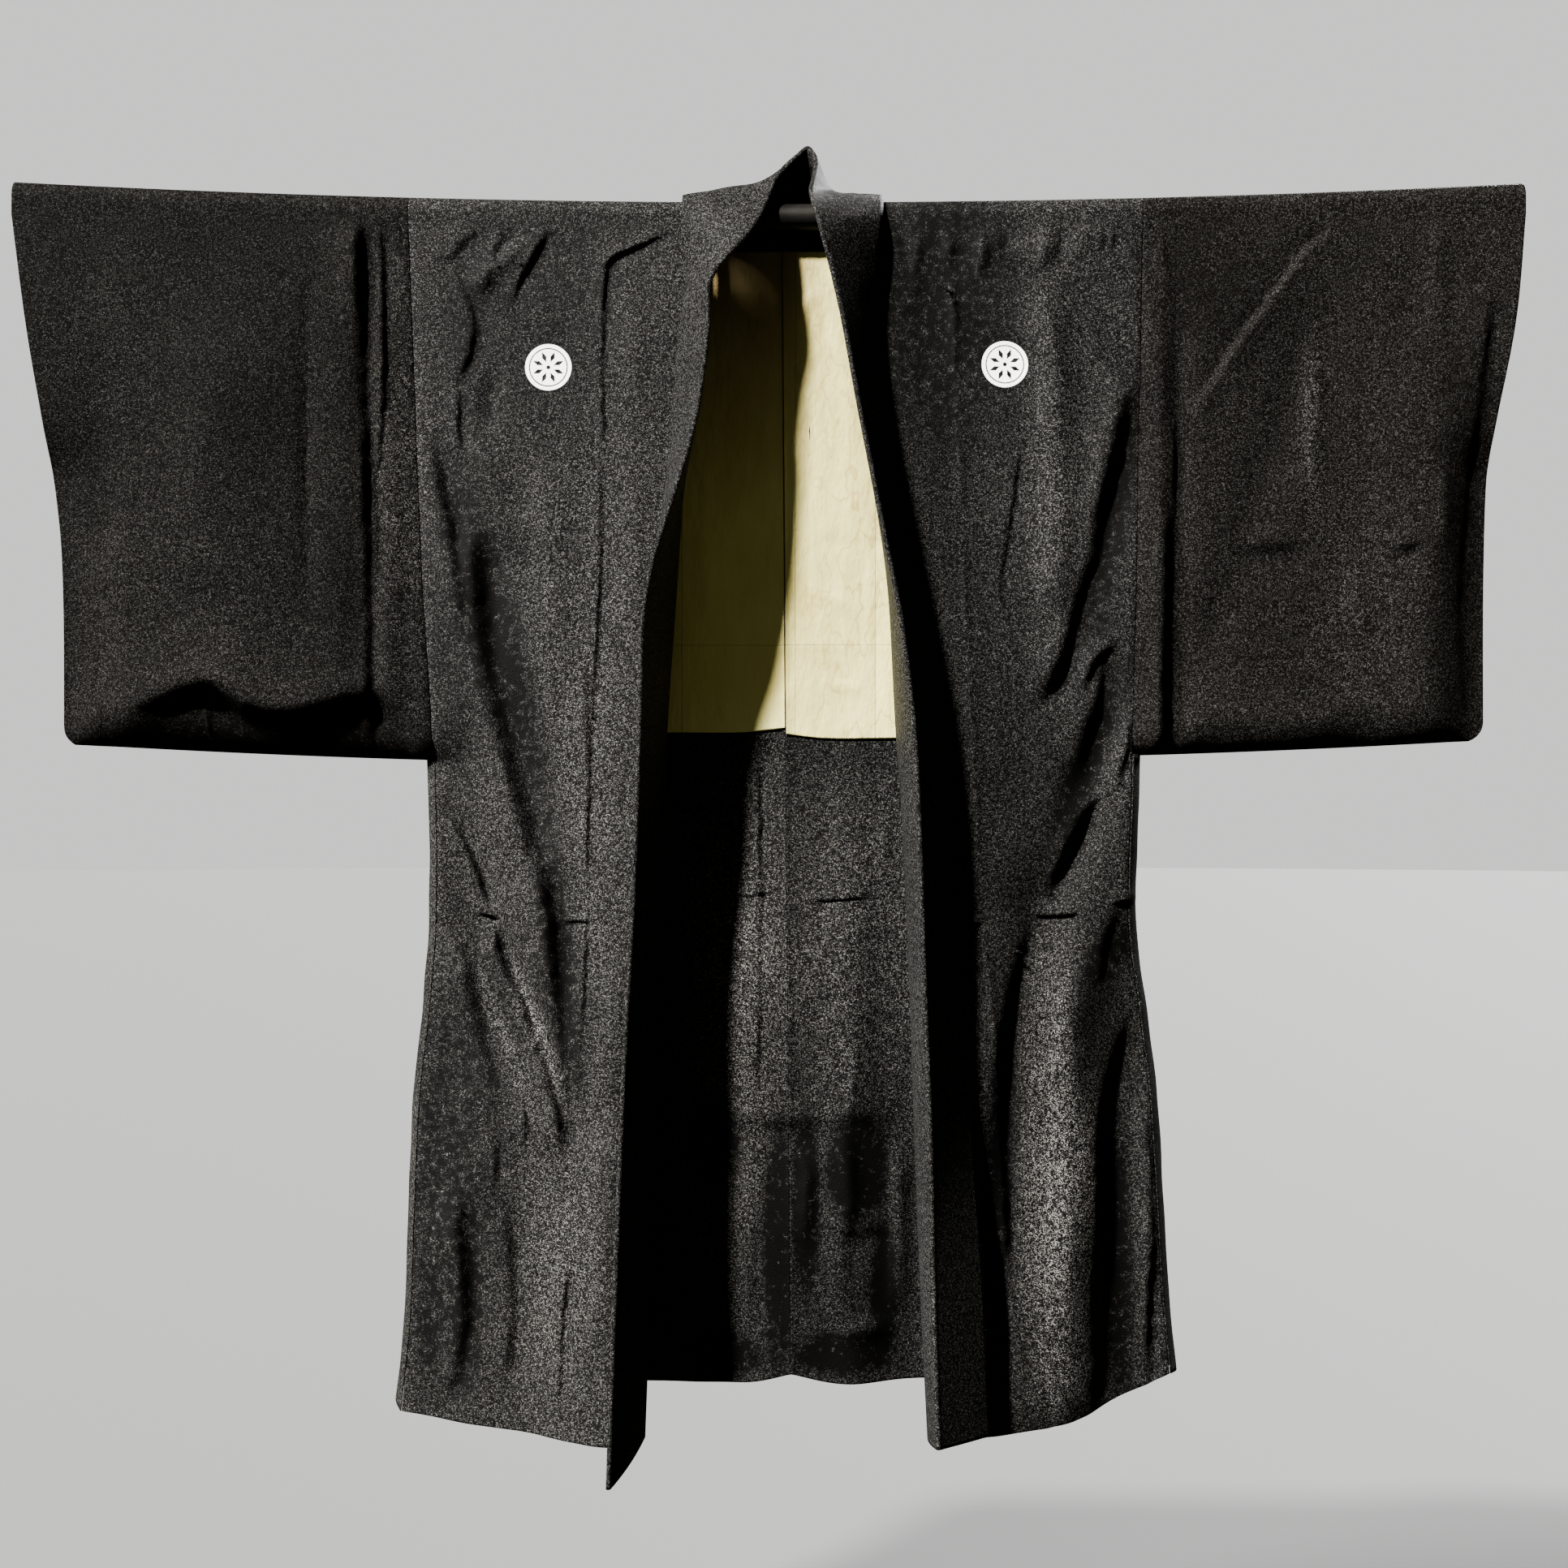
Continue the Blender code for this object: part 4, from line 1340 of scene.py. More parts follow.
# Rows of painted light and shade: Rub(across, drop, half width, half length, nap, lean).

BODY_LIGHT_PATCHES = {
    Side.LEFT: (
        # Painted shade in the broad valley and by the armhole; painted light by the storage crease.
        LightPatch(-226, 368, 34, 200, -1.1, 0.28),
        LightPatch(-186, 70, 120, 190, -0.4),
        LightPatch(-262, 300, 60, 300, -0.4),
        LightPatch(-262, 68, 26, 70, -0.35),
        LightPatch(-160, 430, 70, 400, 0.45, -0.04),
        LightPatch(-180, 606, 26, 190, -1.1, 0.1),
        # Painted highlights on the two ridges beside the short fold.
        LightPatch(-198, 665, 15, 100, 1.4, 0.42),
        LightPatch(-226, 672, 12, 92, 1.1, 0.42),
        # Painted shade low on the front, and some painted light.
        LightPatch(-272, 800, 66, 250, -0.8),
        LightPatch(-214, 640, 76, 140, -0.3),
        LightPatch(-253, 905, 16, 100, -0.7, -0.05),
        LightPatch(-286, 915, 14, 66, -0.6),
        LightPatch(-176, 850, 44, 130, 0.6),
        # Inside the back, left of its seam: painted light, and painted shadow cast by the front.
        LightPatch(-34, 620, 74, 270, 1.1, inner=True),
        LightPatch(-54, 758, 32, 56, -2.6, inner=True),
        LightPatch(-2, 840, 18, 140, -2.6, inner=True),
        LightPatch(-48, 934, 44, 26, -2.0, inner=True),
    ),
    Side.RIGHT: (
        # Painted shade at the shoulder, painted light down the ridge, painted shade beside it.
        LightPatch(132, 70, 92, 190, -0.95),
        LightPatch(218, 180, 30, 200, 0.55),
        LightPatch(270, 250, 24, 170, -1.1, -0.15),
        LightPatch(248, 450, 22, 110, -1.4, -0.4),
        # Below the fold line: painted shade, painted light on the ridge, painted shade.
        LightPatch(266, 604, 30, 40, -1.3, -0.5),
        LightPatch(174, 800, 22, 260, -1.4, -0.09),
        LightPatch(222, 800, 44, 280, 3.0, 0.03),
        LightPatch(273, 850, 18, 170, -1.7, 0.03),
        # Inside the back, right of its seam: painted light, and painted shadow cast by the front.
        LightPatch(58, 620, 90, 270, 1.0, inner=True),
        LightPatch(20, 806, 15, 100, -3.0, inner=True),
        LightPatch(62, 778, 36, 62, -3.4, inner=True),
        LightPatch(84, 884, 15, 76, -2.6, inner=True),
        LightPatch(50, 932, 52, 24, -2.4, inner=True),
    ),
}

# Painted light and shade on the sleeves, with painted shade where the left one's foot rolls under.
SLEEVE_LIGHT_PATCHES = {
    Side.LEFT: (
        LightPatch(-470, 300, 120, 190, 0.4, 0.2),
        LightPatch(-560, 120, 60, 110, 0.35),
        LightPatch(-306, 210, 44, 300, 1.3),
        LightPatch(-440, 446, 230, 50, -1.8),
    ),
    Side.RIGHT: (
        LightPatch(434, 170, 18, 120, 0.9),
        LightPatch(466, 320, 60, 120, 0.4),
        LightPatch(350, 60, 60, 90, -0.4),
        LightPatch(560, 240, 34, 260, -0.5),
    ),
}

LINING_CREASES = (
    sharp(2.2, -1.0, (-83, 150), (-84, 260), (-83, 420)),
    sharp(2.2, -1.0, (12, 190), (13, 300), (12, 420)),
    sharp(2.2, 1.1, (79, 250), (78, 330), (79, 420)),
    sharp(2.4, -1.2, (-100, 352), (0, 350), (96, 353)),
    sharp(4, -3.0, (-30, 46), (-16, 74), (-1, 98)),
    sharp(4, -3.0, (32, 50), (16, 74), (1, 98)),
    sharp(4, 1.6, (-44, 60), (-24, 96), (-4, 128)),
    sharp(4, -2.2, (-6, 110), (-11, 170), (-5, 240), (-9, 330)),
    sharp(5, 2.0, (20, 130), (24, 200), (19, 260)),
    sharp(6, -2.4, (52, 170), (58, 240), (54, 330)),
    sharp(4, -2.2, (38, 60), (52, 130), (66, 220), (74, 300)),
    sharp(3.5, 1.3, (24, 250), (44, 268), (70, 262)),
    sharp(3, -1.2, (20, 300), (42, 312), (66, 322)),
    sharp(3, 1.2, (16, 362), (40, 372), (60, 368)),
    sharp(3, -1.3, (26, 390), (52, 384), (76, 392)),
    sharp(6, -2.0, (-60, 180), (-64, 260), (-58, 340)),
    sharp(4, 1.5, (-40, 380), (-24, 340), (-20, 300)),
)


# ------------ the hang of the cloth


@dataclass(frozen=True)
class Hang:
    """The form that every cloth piece is cut from, as it hangs on the rod.

    Attributes:
        cloth: The solid cloth's thickness.
        seam_gap: The space between pieces at a seam.
        rod_radius: The rod's radius.
        rod_half_length: Half the rod's length.
        rod_sag: How far the rod's ends stand above its middle.
        body_drop: The drop that spreads are given at.
        front_spread_at_side: How far the front stands out at its side, at that drop.
        front_spread_at_collar: The same at the collar.
        back_spread: The same for the back.
        centre_drift: How far the back's centre seam leans, at that drop.
        neck_half_width: Half the neck opening's width.
        neck_drop: How far down the back's neck edge is.
        fold_fade: How gently a large fold starts and ends.
        seam_dip: How far the cloth rolls down into a seam.
        seam_roll: How wide that roll is.
        slack: The cloth's own broad waves.
        ripple: Its small ones.
        unevenness: How the creases wander off their paths.
        side_pucker: How the cloth puckers along the side seam.
        side_pucker_reach: How wide that is.
        centre_pucker: How it puckers along the back's centre seam.
        centre_pucker_reach: How wide that is.
        taut: How far over the rod the cloth lies smooth.
        taut_fade: How far below that it is as uneven as the rest.
        collar_flare: How the front's spread grows with the drop, at the collar.
        side_flare: The same at its side.
    """

    cloth: float = 1.5
    seam_gap: float = 0.3
    rod_radius: float = 11.0
    rod_half_length: float = 600.0
    rod_sag: float = 15.0
    body_drop: float = 980.0
    front_spread_at_side: float = 16.0
    front_spread_at_collar: float = 56.0
    back_spread: float = 18.0
    centre_drift: float = 8.0
    neck_half_width: float = 75.5
    neck_drop: float = 12.5
    fold_fade: float = 70.0
    seam_dip: float = 1.1
    seam_roll: float = 2.6
    slack: Waves = Waves(1.6, 85.0, 150.0, 0.0)
    ripple: Waves = Waves(0.5, 24.0, 60.0, 7.0)
    unevenness: Waves = Waves(1.7, 22.0, 13.0, 19.0)
    side_pucker: Waves = Waves(0.45, 40.0, 7.0, 3.0)
    side_pucker_reach: float = 14.0
    centre_pucker: Waves = Waves(0.6, 30.0, 8.0, 5.0)
    centre_pucker_reach: float = 12.0
    taut: float = 3.0
    taut_fade: float = 30.0
    collar_flare: float = 1.3
    side_flare: float = 1.2

    @property
    def radius(self) -> float:
        """How far the cloth's middle is from the rod's axis, over the rod."""
        return self.rod_radius + self.seam_gap + self.cloth / 2

    def rise(self, x: Any) -> Any:
        """How high the bowed rod's axis is, above its middle."""
        return self.rod_sag * (x / self.rod_half_length) ** 2

    def side_seam(self, side: Side, drop: Any) -> Array:
        """How far from the centre the side seam is."""
        return read(SIDE_SEAM, drop, side.word)

    def shoulder(self, side: Side) -> float:
        """How far from the centre the side seam crosses the rod."""
        return float(getattr(SIDE_SEAM[0], side.word))

    def collar_seam(self, side: Side, drop: Any) -> Array:
        """How far from the centre the collar is sewn on."""
        return read(COLLAR_SEAM, drop, side.word)

    def centre(self, drop: Any) -> Any:
        """Where the back's centre seam is."""
        return self.centre_drift * np.maximum(drop, 0.0) / self.body_drop

    def folds(self, wall: Wall, x: Array, drop: Array) -> Array:
        """How far the large folds push a wall out.

        Args:
            wall: The wall.
            x: The places across.
            drop: The places down.

        Returns:
            The push at each place.
        """
        push = np.zeros_like(x)
        for fold in FOLDS[wall]:
            along = (drop - fold.head_drop) / (fold.foot_drop - fold.head_drop)
            line = blend(fold.head_x, fold.foot_x, np.clip(along, 0.0, 1.0))
            fade_in = ease((drop - fold.head_drop + self.fold_fade) / (2 * self.fold_fade))
            fade_out = ease((fold.foot_drop + self.fold_fade - drop) / self.fold_fade)
            push += fold.height * fade_in * fade_out * np.exp(-(((x - line) / fold.width) ** 2))
        return push * ease(drop / (2 * self.fold_fade))

    def fine(self, side: Side, wall: Wall, x: Array, drop: Array) -> Array:
        """How far the creases, seams and slack move a wall.

        Args:
            side: The side the place is on.
            wall: The wall.
            x: The places across.
            drop: The places down.

        Returns:
            The push at each place.
        """
        push = self.slack.at(x, drop, wall.value)
        push += self.ripple.at(x, drop, wall.value)
        bent_x = x + self.unevenness.at(x, drop)
        for crease in FRONT_CREASES if wall is Wall.FRONT else BACK_CREASES:
            push += crease.push(bent_x, drop)
        from_side = np.abs(np.abs(x) - self.side_seam(side, drop))
        pucker = self.side_pucker.at(x, drop) * np.exp(-from_side / self.side_pucker_reach)
        if wall is Wall.BACK:
            from_centre = np.abs(x - self.centre(drop))
            fade = np.exp(-from_centre / self.centre_pucker_reach)
            pucker += self.centre_pucker.at(x, drop) * fade
            push -= self.seam_dip * np.exp(-((from_centre / self.seam_roll) ** 2))
        push -= self.seam_dip * np.exp(-((from_side / self.seam_roll) ** 2))
        return (push + pucker) * ease((drop + self.rise(x) - self.taut) / self.taut_fade)

    def plain_out(self, side: Side, wall: Wall, x: Any, drop: Any) -> Array:
        """How far out a wall of the body hangs, before its folds.

        Args:
            side: The side the place is on.
            wall: The wall.
            x: The places across.
            drop: The places down.

        Returns:
            How far out the cloth's middle is.
        """
        down = np.maximum(drop, 0.0) / self.body_drop
        if wall is Wall.BACK:
            return self.radius + self.back_spread * down
        seam, edge = self.collar_seam(side, drop), self.side_seam(side, drop)
        across = ease((np.abs(x) - seam) / (edge - seam))
        at_collar = self.front_spread_at_collar * down**self.collar_flare
        at_side = self.front_spread_at_side * down**self.side_flare
        return self.radius + blend(at_collar, at_side, across)

    def out(self, side: Side, wall: Wall, x: Array, drop: Array) -> Array:
        """How far out a wall of the body hangs, with its folds and creases."""
        plain = self.plain_out(side, wall, x, drop)
        return plain + self.folds(wall, x, drop) + self.fine(side, wall, x, drop)

    def ridge(self, x: Array, turn: Any) -> Array:
        """Points where the cloth bends over the rod.

        Args:
            x: The places across.
            turn: From nought at the front to one at the back.

        Returns:
            The points.
        """
        angle = blend(-math.pi / 2, math.pi / 2, turn) + 0.0 * x
        over = self.rise(x) + self.radius * np.cos(angle)
        return np.stack([x, self.radius * np.sin(angle), over], axis=-1)

    def on_wall(self, wall: Wall, x: Array, out: Array, drop: Array) -> Array:
        """The points on a wall, from how far across, out and down they are."""
        return np.stack([x, wall.value * out, -np.asarray(drop, float)], axis=-1)


# ------------ the pieces


@dataclass
class Piece:
    """A piece of the garment, and how it is entered in the frame.

    Attributes:
        hang: The form it is cut from.
    """

    hang: Hang

    def enter(
        self, piece: bpy.types.Object, slot: str, material: bpy.types.Material, *nodes: str
    ) -> None:
        """Dress a piece, and tell the frame what it is.

        Args:
            piece: The piece.
            slot: Not used.
            material: Its finish.
            nodes: The solids that it stands for.
        """
        piece.data.materials.append(material)
        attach(piece, BODY)
        if nodes:
            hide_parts(*nodes)
        log.info("piece %s", piece.name)


@dataclass
class BodyLength(Piece):
    """One length of the body: front hem, over the shoulder, back hem.

    Attributes:
        side: The side it hangs on.
        step: The spacing of its mesh.
        shell_thickness: The cloth's thickness.
        ridge_steps: How many steps turn over the rod.
        ridge_share: What share of the way from the rod to a hem counts as over the rod.
        collar_cloth: The collar's thickness, which the front's edge stays clear of.
        tuck: How far the front's edge is tucked behind the collar near the neck.
        tuck_drop: How far down that is.
        tuck_height: How far up and down it reaches.
        belly: How far the back sags forward below the lining, at its middle.
        belly_head: How far down the sag starts.
        belly_reach: How far it takes to reach its depth.
        belly_half_width: How far it reaches to each side.
        collar_half_width: The width of one half of the collar.
        neck_reach: What share of its drop the front's edge takes to reach the collar's seam.
        neck_clear: How far below the back's neck edge the next row of the mesh is, at least.
        flat: The cut's width and length, in metres. Not used.
    """

    side: Side
    step: float = 4.4
    shell_thickness: float = 0.9
    ridge_steps: int = 10
    ridge_share: float = 0.015
    collar_cloth: float = 0.6
    tuck: float = 3.5
    tuck_drop: float = 46.0
    tuck_height: float = 34.0
    belly: float = 42.0
    belly_head: float = 426.0
    belly_reach: float = 250.0
    belly_half_width: float = 130.0
    collar_half_width: float = 62.0
    neck_reach: float = 0.125
    neck_clear: float = 1.2
    flat: tuple[float, float] = (0.335, 1.975)

    def collar_clearance(self, drop: Array) -> Array:
        """How far a front's edge stays from the collar's seam line.

        Args:
            drop: The places down.

        Returns:
            The distance across, in millimetres.
        """
        band = sorted(LEFT_BAND if self.side is Side.LEFT else RIGHT_BAND)
        lean = read(band, drop, "fold") - self.hang.collar_seam(self.side, drop)
        reach = np.sqrt(self.collar_half_width**2 - lean**2)
        tilt = np.arctan2(np.abs(lean), reach)
        tucked = self.tuck * np.exp(-(((drop - self.tuck_drop) / self.tuck_height) ** 2))
        return (
            self.collar_cloth / 2 / np.cos(tilt)
            + self.shell_thickness / 2 * np.tan(tilt)
            - tucked
        )

    def points(self, wall: Wall, rest_x: Array, down: Array, inward: float = 0.0) -> Array:
        """Points on a wall.

        Args:
            wall: The wall.
            rest_x: How far from the centre each point's column crosses the rod.
            down: From nought at the rod to one at the hem, for each point.
            inward: How far inside the cloth's middle the points are.

        Returns:
            The points.
        """
        hang, side = self.hang, self.side
        shoulder = hang.shoulder(side)
        if wall is Wall.BACK:
            across = rest_x / shoulder
        else:
            across = (rest_x - hang.neck_half_width) / (shoulder - hang.neck_half_width)
        hem = read(HEMS, across, f"{side.word}_{wall.name.lower()}")
        drop = blend(-hang.rise(rest_x), hem, down)
        edge = hang.side_seam(side, drop)
        if wall is Wall.BACK:
            start = side.value * hang.centre(drop)
        else:
            start = hang.collar_seam(side, drop) + self.collar_clearance(drop)
            start = blend(hang.neck_half_width, start, ease(down / self.neck_reach))
        x = side.value * blend(start, edge, across)
        if wall is Wall.BACK:
            slack = self.belly * ease((drop - self.belly_head) / self.belly_reach)
            inward = inward + slack * np.exp(-((x / self.belly_half_width) ** 2))
        return hang.on_wall(wall, x, hang.out(side, wall, x, drop) - inward, drop)

    def columns(self) -> tuple[Array, Array]:
        """Where the columns cross the rod.

        Returns:
            How far from the centre those under the neck are, and the others.
        """
        hang = self.hang
        neck = spaced(hang.neck_half_width, self.step)[:-1] * hang.neck_half_width
        width = hang.shoulder(self.side) - hang.neck_half_width
        return neck, hang.neck_half_width + spaced(width, self.step) * width

    def place(self, flat: Array) -> Array:
        """Where points of the cut hang.

        Args:
            flat: How far from the centre each point crosses the rod, and how far along it
                is, from minus one at the front hem to one at the back hem.

        Returns:
            The points.
        """
        rest_x, along = flat[:, 0], flat[:, 1]
        share = self.ridge_share
        down = np.clip((np.abs(along) - share) / (1 - share), 0.0, 1.0)
        turn = np.clip((along / share + 1) / 2, 0.0, 1.0)
        front = self.points(Wall.FRONT, np.maximum(rest_x, self.hang.neck_half_width), down)
        back = self.points(Wall.BACK, rest_x, down)
        ridge = self.hang.ridge(self.side.value * rest_x, turn)
        along = along[:, None]
        return np.where(along <= -share, front, np.where(along >= share, back, ridge))

    def build(self) -> bpy.types.Object:
        """Make the length as one shell.

        Returns:
            The piece.
        """
        neck, main = self.columns()
        share = self.ridge_share
        rows = share + (1 - share) * spaced(self.hang.body_drop, self.step, (1.5, 3.0))
        neck_start = share + (1 - share) * self.hang.neck_drop / HEMS[0].left_back
        over = share * (2 * np.arange(1, self.ridge_steps) / self.ridge_steps - 1)
        below = rows[rows > neck_start * self.neck_clear]
        along = np.array([*-rows[::-1], *over, share, neck_start, *below])
        flat = np.stack(np.meshgrid(np.concatenate([neck, main]), along), axis=-1)
        there = (flat[..., 0] >= self.hang.neck_half_width) | (flat[..., 1] >= neck_start)
        return draped(
            f"body_{self.side.word}_cloth",
            flat[there],
            cells(there),
            self.place,
            self.shell_thickness,
        )

    def dress(self) -> None:
        """Finish the length in crepe silk with its crest."""
        crest = Crest(-190.5, 125.6) if self.side is Side.LEFT else Crest(182.5, 123.0)
        # The right length's colours are painted darker than the left's: painted shade.
        tone = 1.0 if self.side is Side.LEFT else 0.76
        silk = CrepeSilk(
            f"crepe_with_crest_{self.side.word}", tone, crest=crest, light_patches=BODY_LIGHT_PATCHES[self.side]
        )
        piece = self.build()
        self.enter(piece, "black_silk", silk.material(), f"body_{self.side.word}")


@dataclass
class LiningHalf(Piece):
    """Half of the back's lining, sewn just inside the back.

    Attributes:
        body: The length that it lines.
        thickness: The silk's thickness.
        head: How far down it starts.
        foot: How far down it ends.
        armhole_gap: How far from the side seam it stops.
        behind: How far inside the back's inner face its middle is.
        crinkle: Its own small waves.
        step: The spacing of its mesh.
        flat: The cut's width and length, in metres. Not used.
    """

    body: BodyLength
    thickness: float = 0.6
    head: float = 22.0
    foot: float = 423.0
    armhole_gap: float = 12.0
    behind: float = 0.5
    crinkle: Waves = Waves(0.25, 9.0, 26.0, 2.0)
    step: float = 3.6
    flat: tuple[float, float] = (0.30, 0.40)

    def build(self) -> bpy.types.Object:
        """Make the half as one shell.

        Returns:
            The piece.
        """
        hang, side = self.hang, self.body.side
        stand_off = hang.cloth / 2 + hang.seam_gap + self.behind
        neck, main = self.body.columns()
        rest_x = np.concatenate([neck, main])
        rest_x = rest_x[rest_x < hang.shoulder(side) - self.armhole_gap]
        rise = hang.rise(hang.shoulder(side))
        hem = getattr(HEMS[-1], f"{side.word}_back")
        rows = spaced(self.foot - self.head, self.step, (1.2, 2.4))
        downs = (blend(self.head, self.foot, rows) + rise) / (hem + rise)
        grid = self.body.points(Wall.BACK, *np.meshgrid(rest_x, downs), stand_off)
        x, drop = grid[..., 0], -grid[..., 2]
        for crease in LINING_CREASES:
            grid[..., 1] += crease.push(x, drop)
        grid[..., 1] -= self.crinkle.height + self.crinkle.at(x, drop)
        return shell(f"lining_{side.word}_silk", grid, self.thickness)

    def dress(self) -> None:
        """Finish the half in cream silk."""
        piece = self.build()
        silk = LiningSilk(f"cream_silk_{self.body.side.word}")
        node = f"lining_{self.body.side.word}"
        self.enter(piece, "lining_silk", silk.material(), node)


@dataclass
class Sleeve(Piece):
    """A sleeve: a flat tube along the rod, open to the body and at the cuff's mouth.

    Attributes:
        side: The side it is on.
        step: The spacing of its mesh.
        shell_thickness: The cloth's thickness.
        depths: How deep each sleeve is.
        fullness: Half the space between its walls.
        corner: The radius of the cuff's lower corner.
        foot_start: How far down the walls turn in to the foot, at the armhole.
        foot_height: How tall the turn is for its width, elsewhere.
        cuff_opening: How long the open part of the cuff is.
        half_slit: Half the space between the walls where the cuff is sewn up.
        sewn_fade: How long the cuff takes to close above that.
        body_share: What share of its length follows the body.
        cuff_share: What share follows the cuff.
        foot_share: Over what share the foot's turn leaves the armhole's.
        ridge_steps: How many steps turn over the rod.
        foot_steps: How many steps turn round the foot.
        flat: The cut's width and length, in metres. Not used.
    """

    side: Side
    step: float = 4.8
    shell_thickness: float = 0.9
    depths: dict[Side, float] = field(
        default_factory=lambda: {Side.LEFT: 450.0, Side.RIGHT: 446.0}
    )
    fullness: tuple[FullnessRow, ...] = ()
    corner: float = 16.0
    foot_start: float = 423.0
    foot_height: float = 1.9
    cuff_opening: float = 215.0
    half_slit: float = 1.1
    sewn_fade: float = 60.0
    body_share: float = 0.35
    cuff_share: float = 0.2
    foot_share: float = 0.25
    ridge_steps: int = 10
    foot_steps: int = 14
    flat: tuple[float, float] = (0.335, 0.92)

    def __post_init__(self) -> None:
        """Fill in the fullness table, which follows the rod's size."""
        radius = self.hang.radius
        self.fullness = (
            FullnessRow(0, radius, radius, radius),
            FullnessRow(90, 14, 14, 17),
            FullnessRow(170, 15, 15, 12),
            FullnessRow(self.cuff_opening, 16, 15, self.half_slit),
            FullnessRow(330, 20, 16, self.half_slit),
            FullnessRow(450, 27, 18, self.half_slit),
        )

    def out(self, wall: Wall, along: Array, x: Array, drop: Array) -> Array:
        """How far out a wall hangs.

        Args:
            wall: The wall.
            along: From nought at the armhole to one at the cuff.
            x: The places across.
            drop: The places down.

        Returns:
            How far out the cloth's middle is.
        """
        hang, side = self.hang, self.side
        near_body = 1 - ease(along / self.body_share)
        near_cuff = ease((along - 1 + self.cuff_share) / self.cuff_share)
        at_body = hang.plain_out(side, wall, hang.side_seam(side, drop), drop)
        midway = read(self.fullness, drop, side.word)
        at_cuff = np.maximum(read(self.fullness, drop, "mouth"), self.half_slit)
        closing = (drop - self.cuff_opening + self.sewn_fade) / self.sewn_fade
        sewn = ease(closing) * near_cuff**3
        plain = (
            at_body * near_body + at_cuff * near_cuff + midway * (1 - near_body - near_cuff)
        )
        push = hang.folds(wall, x, drop) + hang.fine(side, wall, x, drop)
        return plain + push * (1 - sewn)

    def x(self, along: Array, drop: Array) -> Array:
        """How far across a place on the sleeve is.

        Args:
            along: From nought at the armhole to one at the cuff.
            drop: The places down.

        Returns:
            The places across.
        """
        lowest = self.depths[self.side] - self.hang.rod_sag
        armhole = self.hang.side_seam(self.side, drop) + self.hang.seam_gap
        into_corner = np.clip(drop - lowest + self.corner, 0.0, self.corner)
        cuff = read(CUFF_EDGE, drop, self.side.word)
        cuff = cuff - (self.corner - np.sqrt(self.corner**2 - into_corner**2))
        return self.side.value * blend(armhole, cuff, along)

    def place(self, flat: Array) -> Array:
        """Where points of the sleeve hang.

        Args:
            flat: How far from the armhole each point is, to one at the cuff, and how far
                round: to one over the rod, two down the back, three round the foot and
                four up the front.

        Returns:
            The points.
        """
        hang = self.hang
        along, about = flat[:, 0], flat[:, 1]
        rise = hang.rise(self.x(along, 0.0 * along))
        lowest = self.depths[self.side] - rise
        start = np.full_like(along, self.foot_start)
        plain_x = self.x(along, start)
        narrowest = np.minimum(*(self.out(wall, along, plain_x, start) for wall in Wall))
        height = blend(
            lowest - self.foot_start, self.foot_height * narrowest, ease(along / self.foot_share)
        )
        foot = lowest - height
        down = np.clip(np.where(about < 2.5, about - 1, 4 - about), 0.0, 1.0)
        drop = blend(-rise, foot, down)
        x = self.x(along, drop)
        back, front = (
            hang.on_wall(wall, x, self.out(wall, along, x, drop), drop)
            for wall in (Wall.BACK, Wall.FRONT)
        )
        foot_x = self.x(along, foot)
        behind = self.out(Wall.BACK, along, foot_x, foot)
        before = self.out(Wall.FRONT, along, foot_x, foot)
        angle = np.pi * np.clip(about - 2, 0.0, 1.0)
        low = foot + height * np.sin(angle)
        y = (behind - before) / 2 + (behind + before) / 2 * np.cos(angle)
        under = np.stack([self.x(along, low), y, -low], axis=-1)
        ridge = hang.ridge(self.x(along, 0.0 * along), np.clip(about, 0.0, 1.0))
        about = about[:, None]
        return np.where(
            about <= 1, ridge, np.where(about <= 2, back, np.where(about < 3, under, front))
        )

    def build(self) -> bpy.types.Object:
        """Make the sleeve as one shell.

        Returns:
            The piece.
        """
        length = getattr(CUFF_EDGE[0], self.side.word) - self.hang.shoulder(self.side)
        downs = spaced(self.depths[self.side], self.step, ())
        over = np.arange(self.ridge_steps) / self.ridge_steps
        under = 2 + np.arange(1, self.foot_steps) / self.foot_steps
        about = np.array([*over, *(1 + downs), *under, *(3 + downs[:-1])])
        flat = np.stack(np.meshgrid(about, spaced(length, self.step)), axis=-1)[..., ::-1]
        return draped(
            f"sleeve_{self.side.word}_cloth",
            flat.reshape(-1, 2),
            cells(np.ones(flat.shape[:2], bool), closed=True),
            self.place,
            self.shell_thickness,
        )

    def dress(self) -> None:
        """Finish the sleeve in crepe silk."""
        # The sleeves' colours are painted darker than the body's: painted shade.
        silk = CrepeSilk(
            f"crepe_sleeve_{self.side.word}",
            tone=0.32 if self.side is Side.LEFT else 0.4,
            light_patches=SLEEVE_LIGHT_PATCHES[self.side],
            ground=(0.0020, 0.0016, 0.0012),
            wear_and_shade=(0.0036, 0.0031, 0.0024),
            gloss=0.006,
        )
        piece = self.build()
        self.enter(piece, "black_silk", silk.material(), f"sleeve_{self.side.word}")


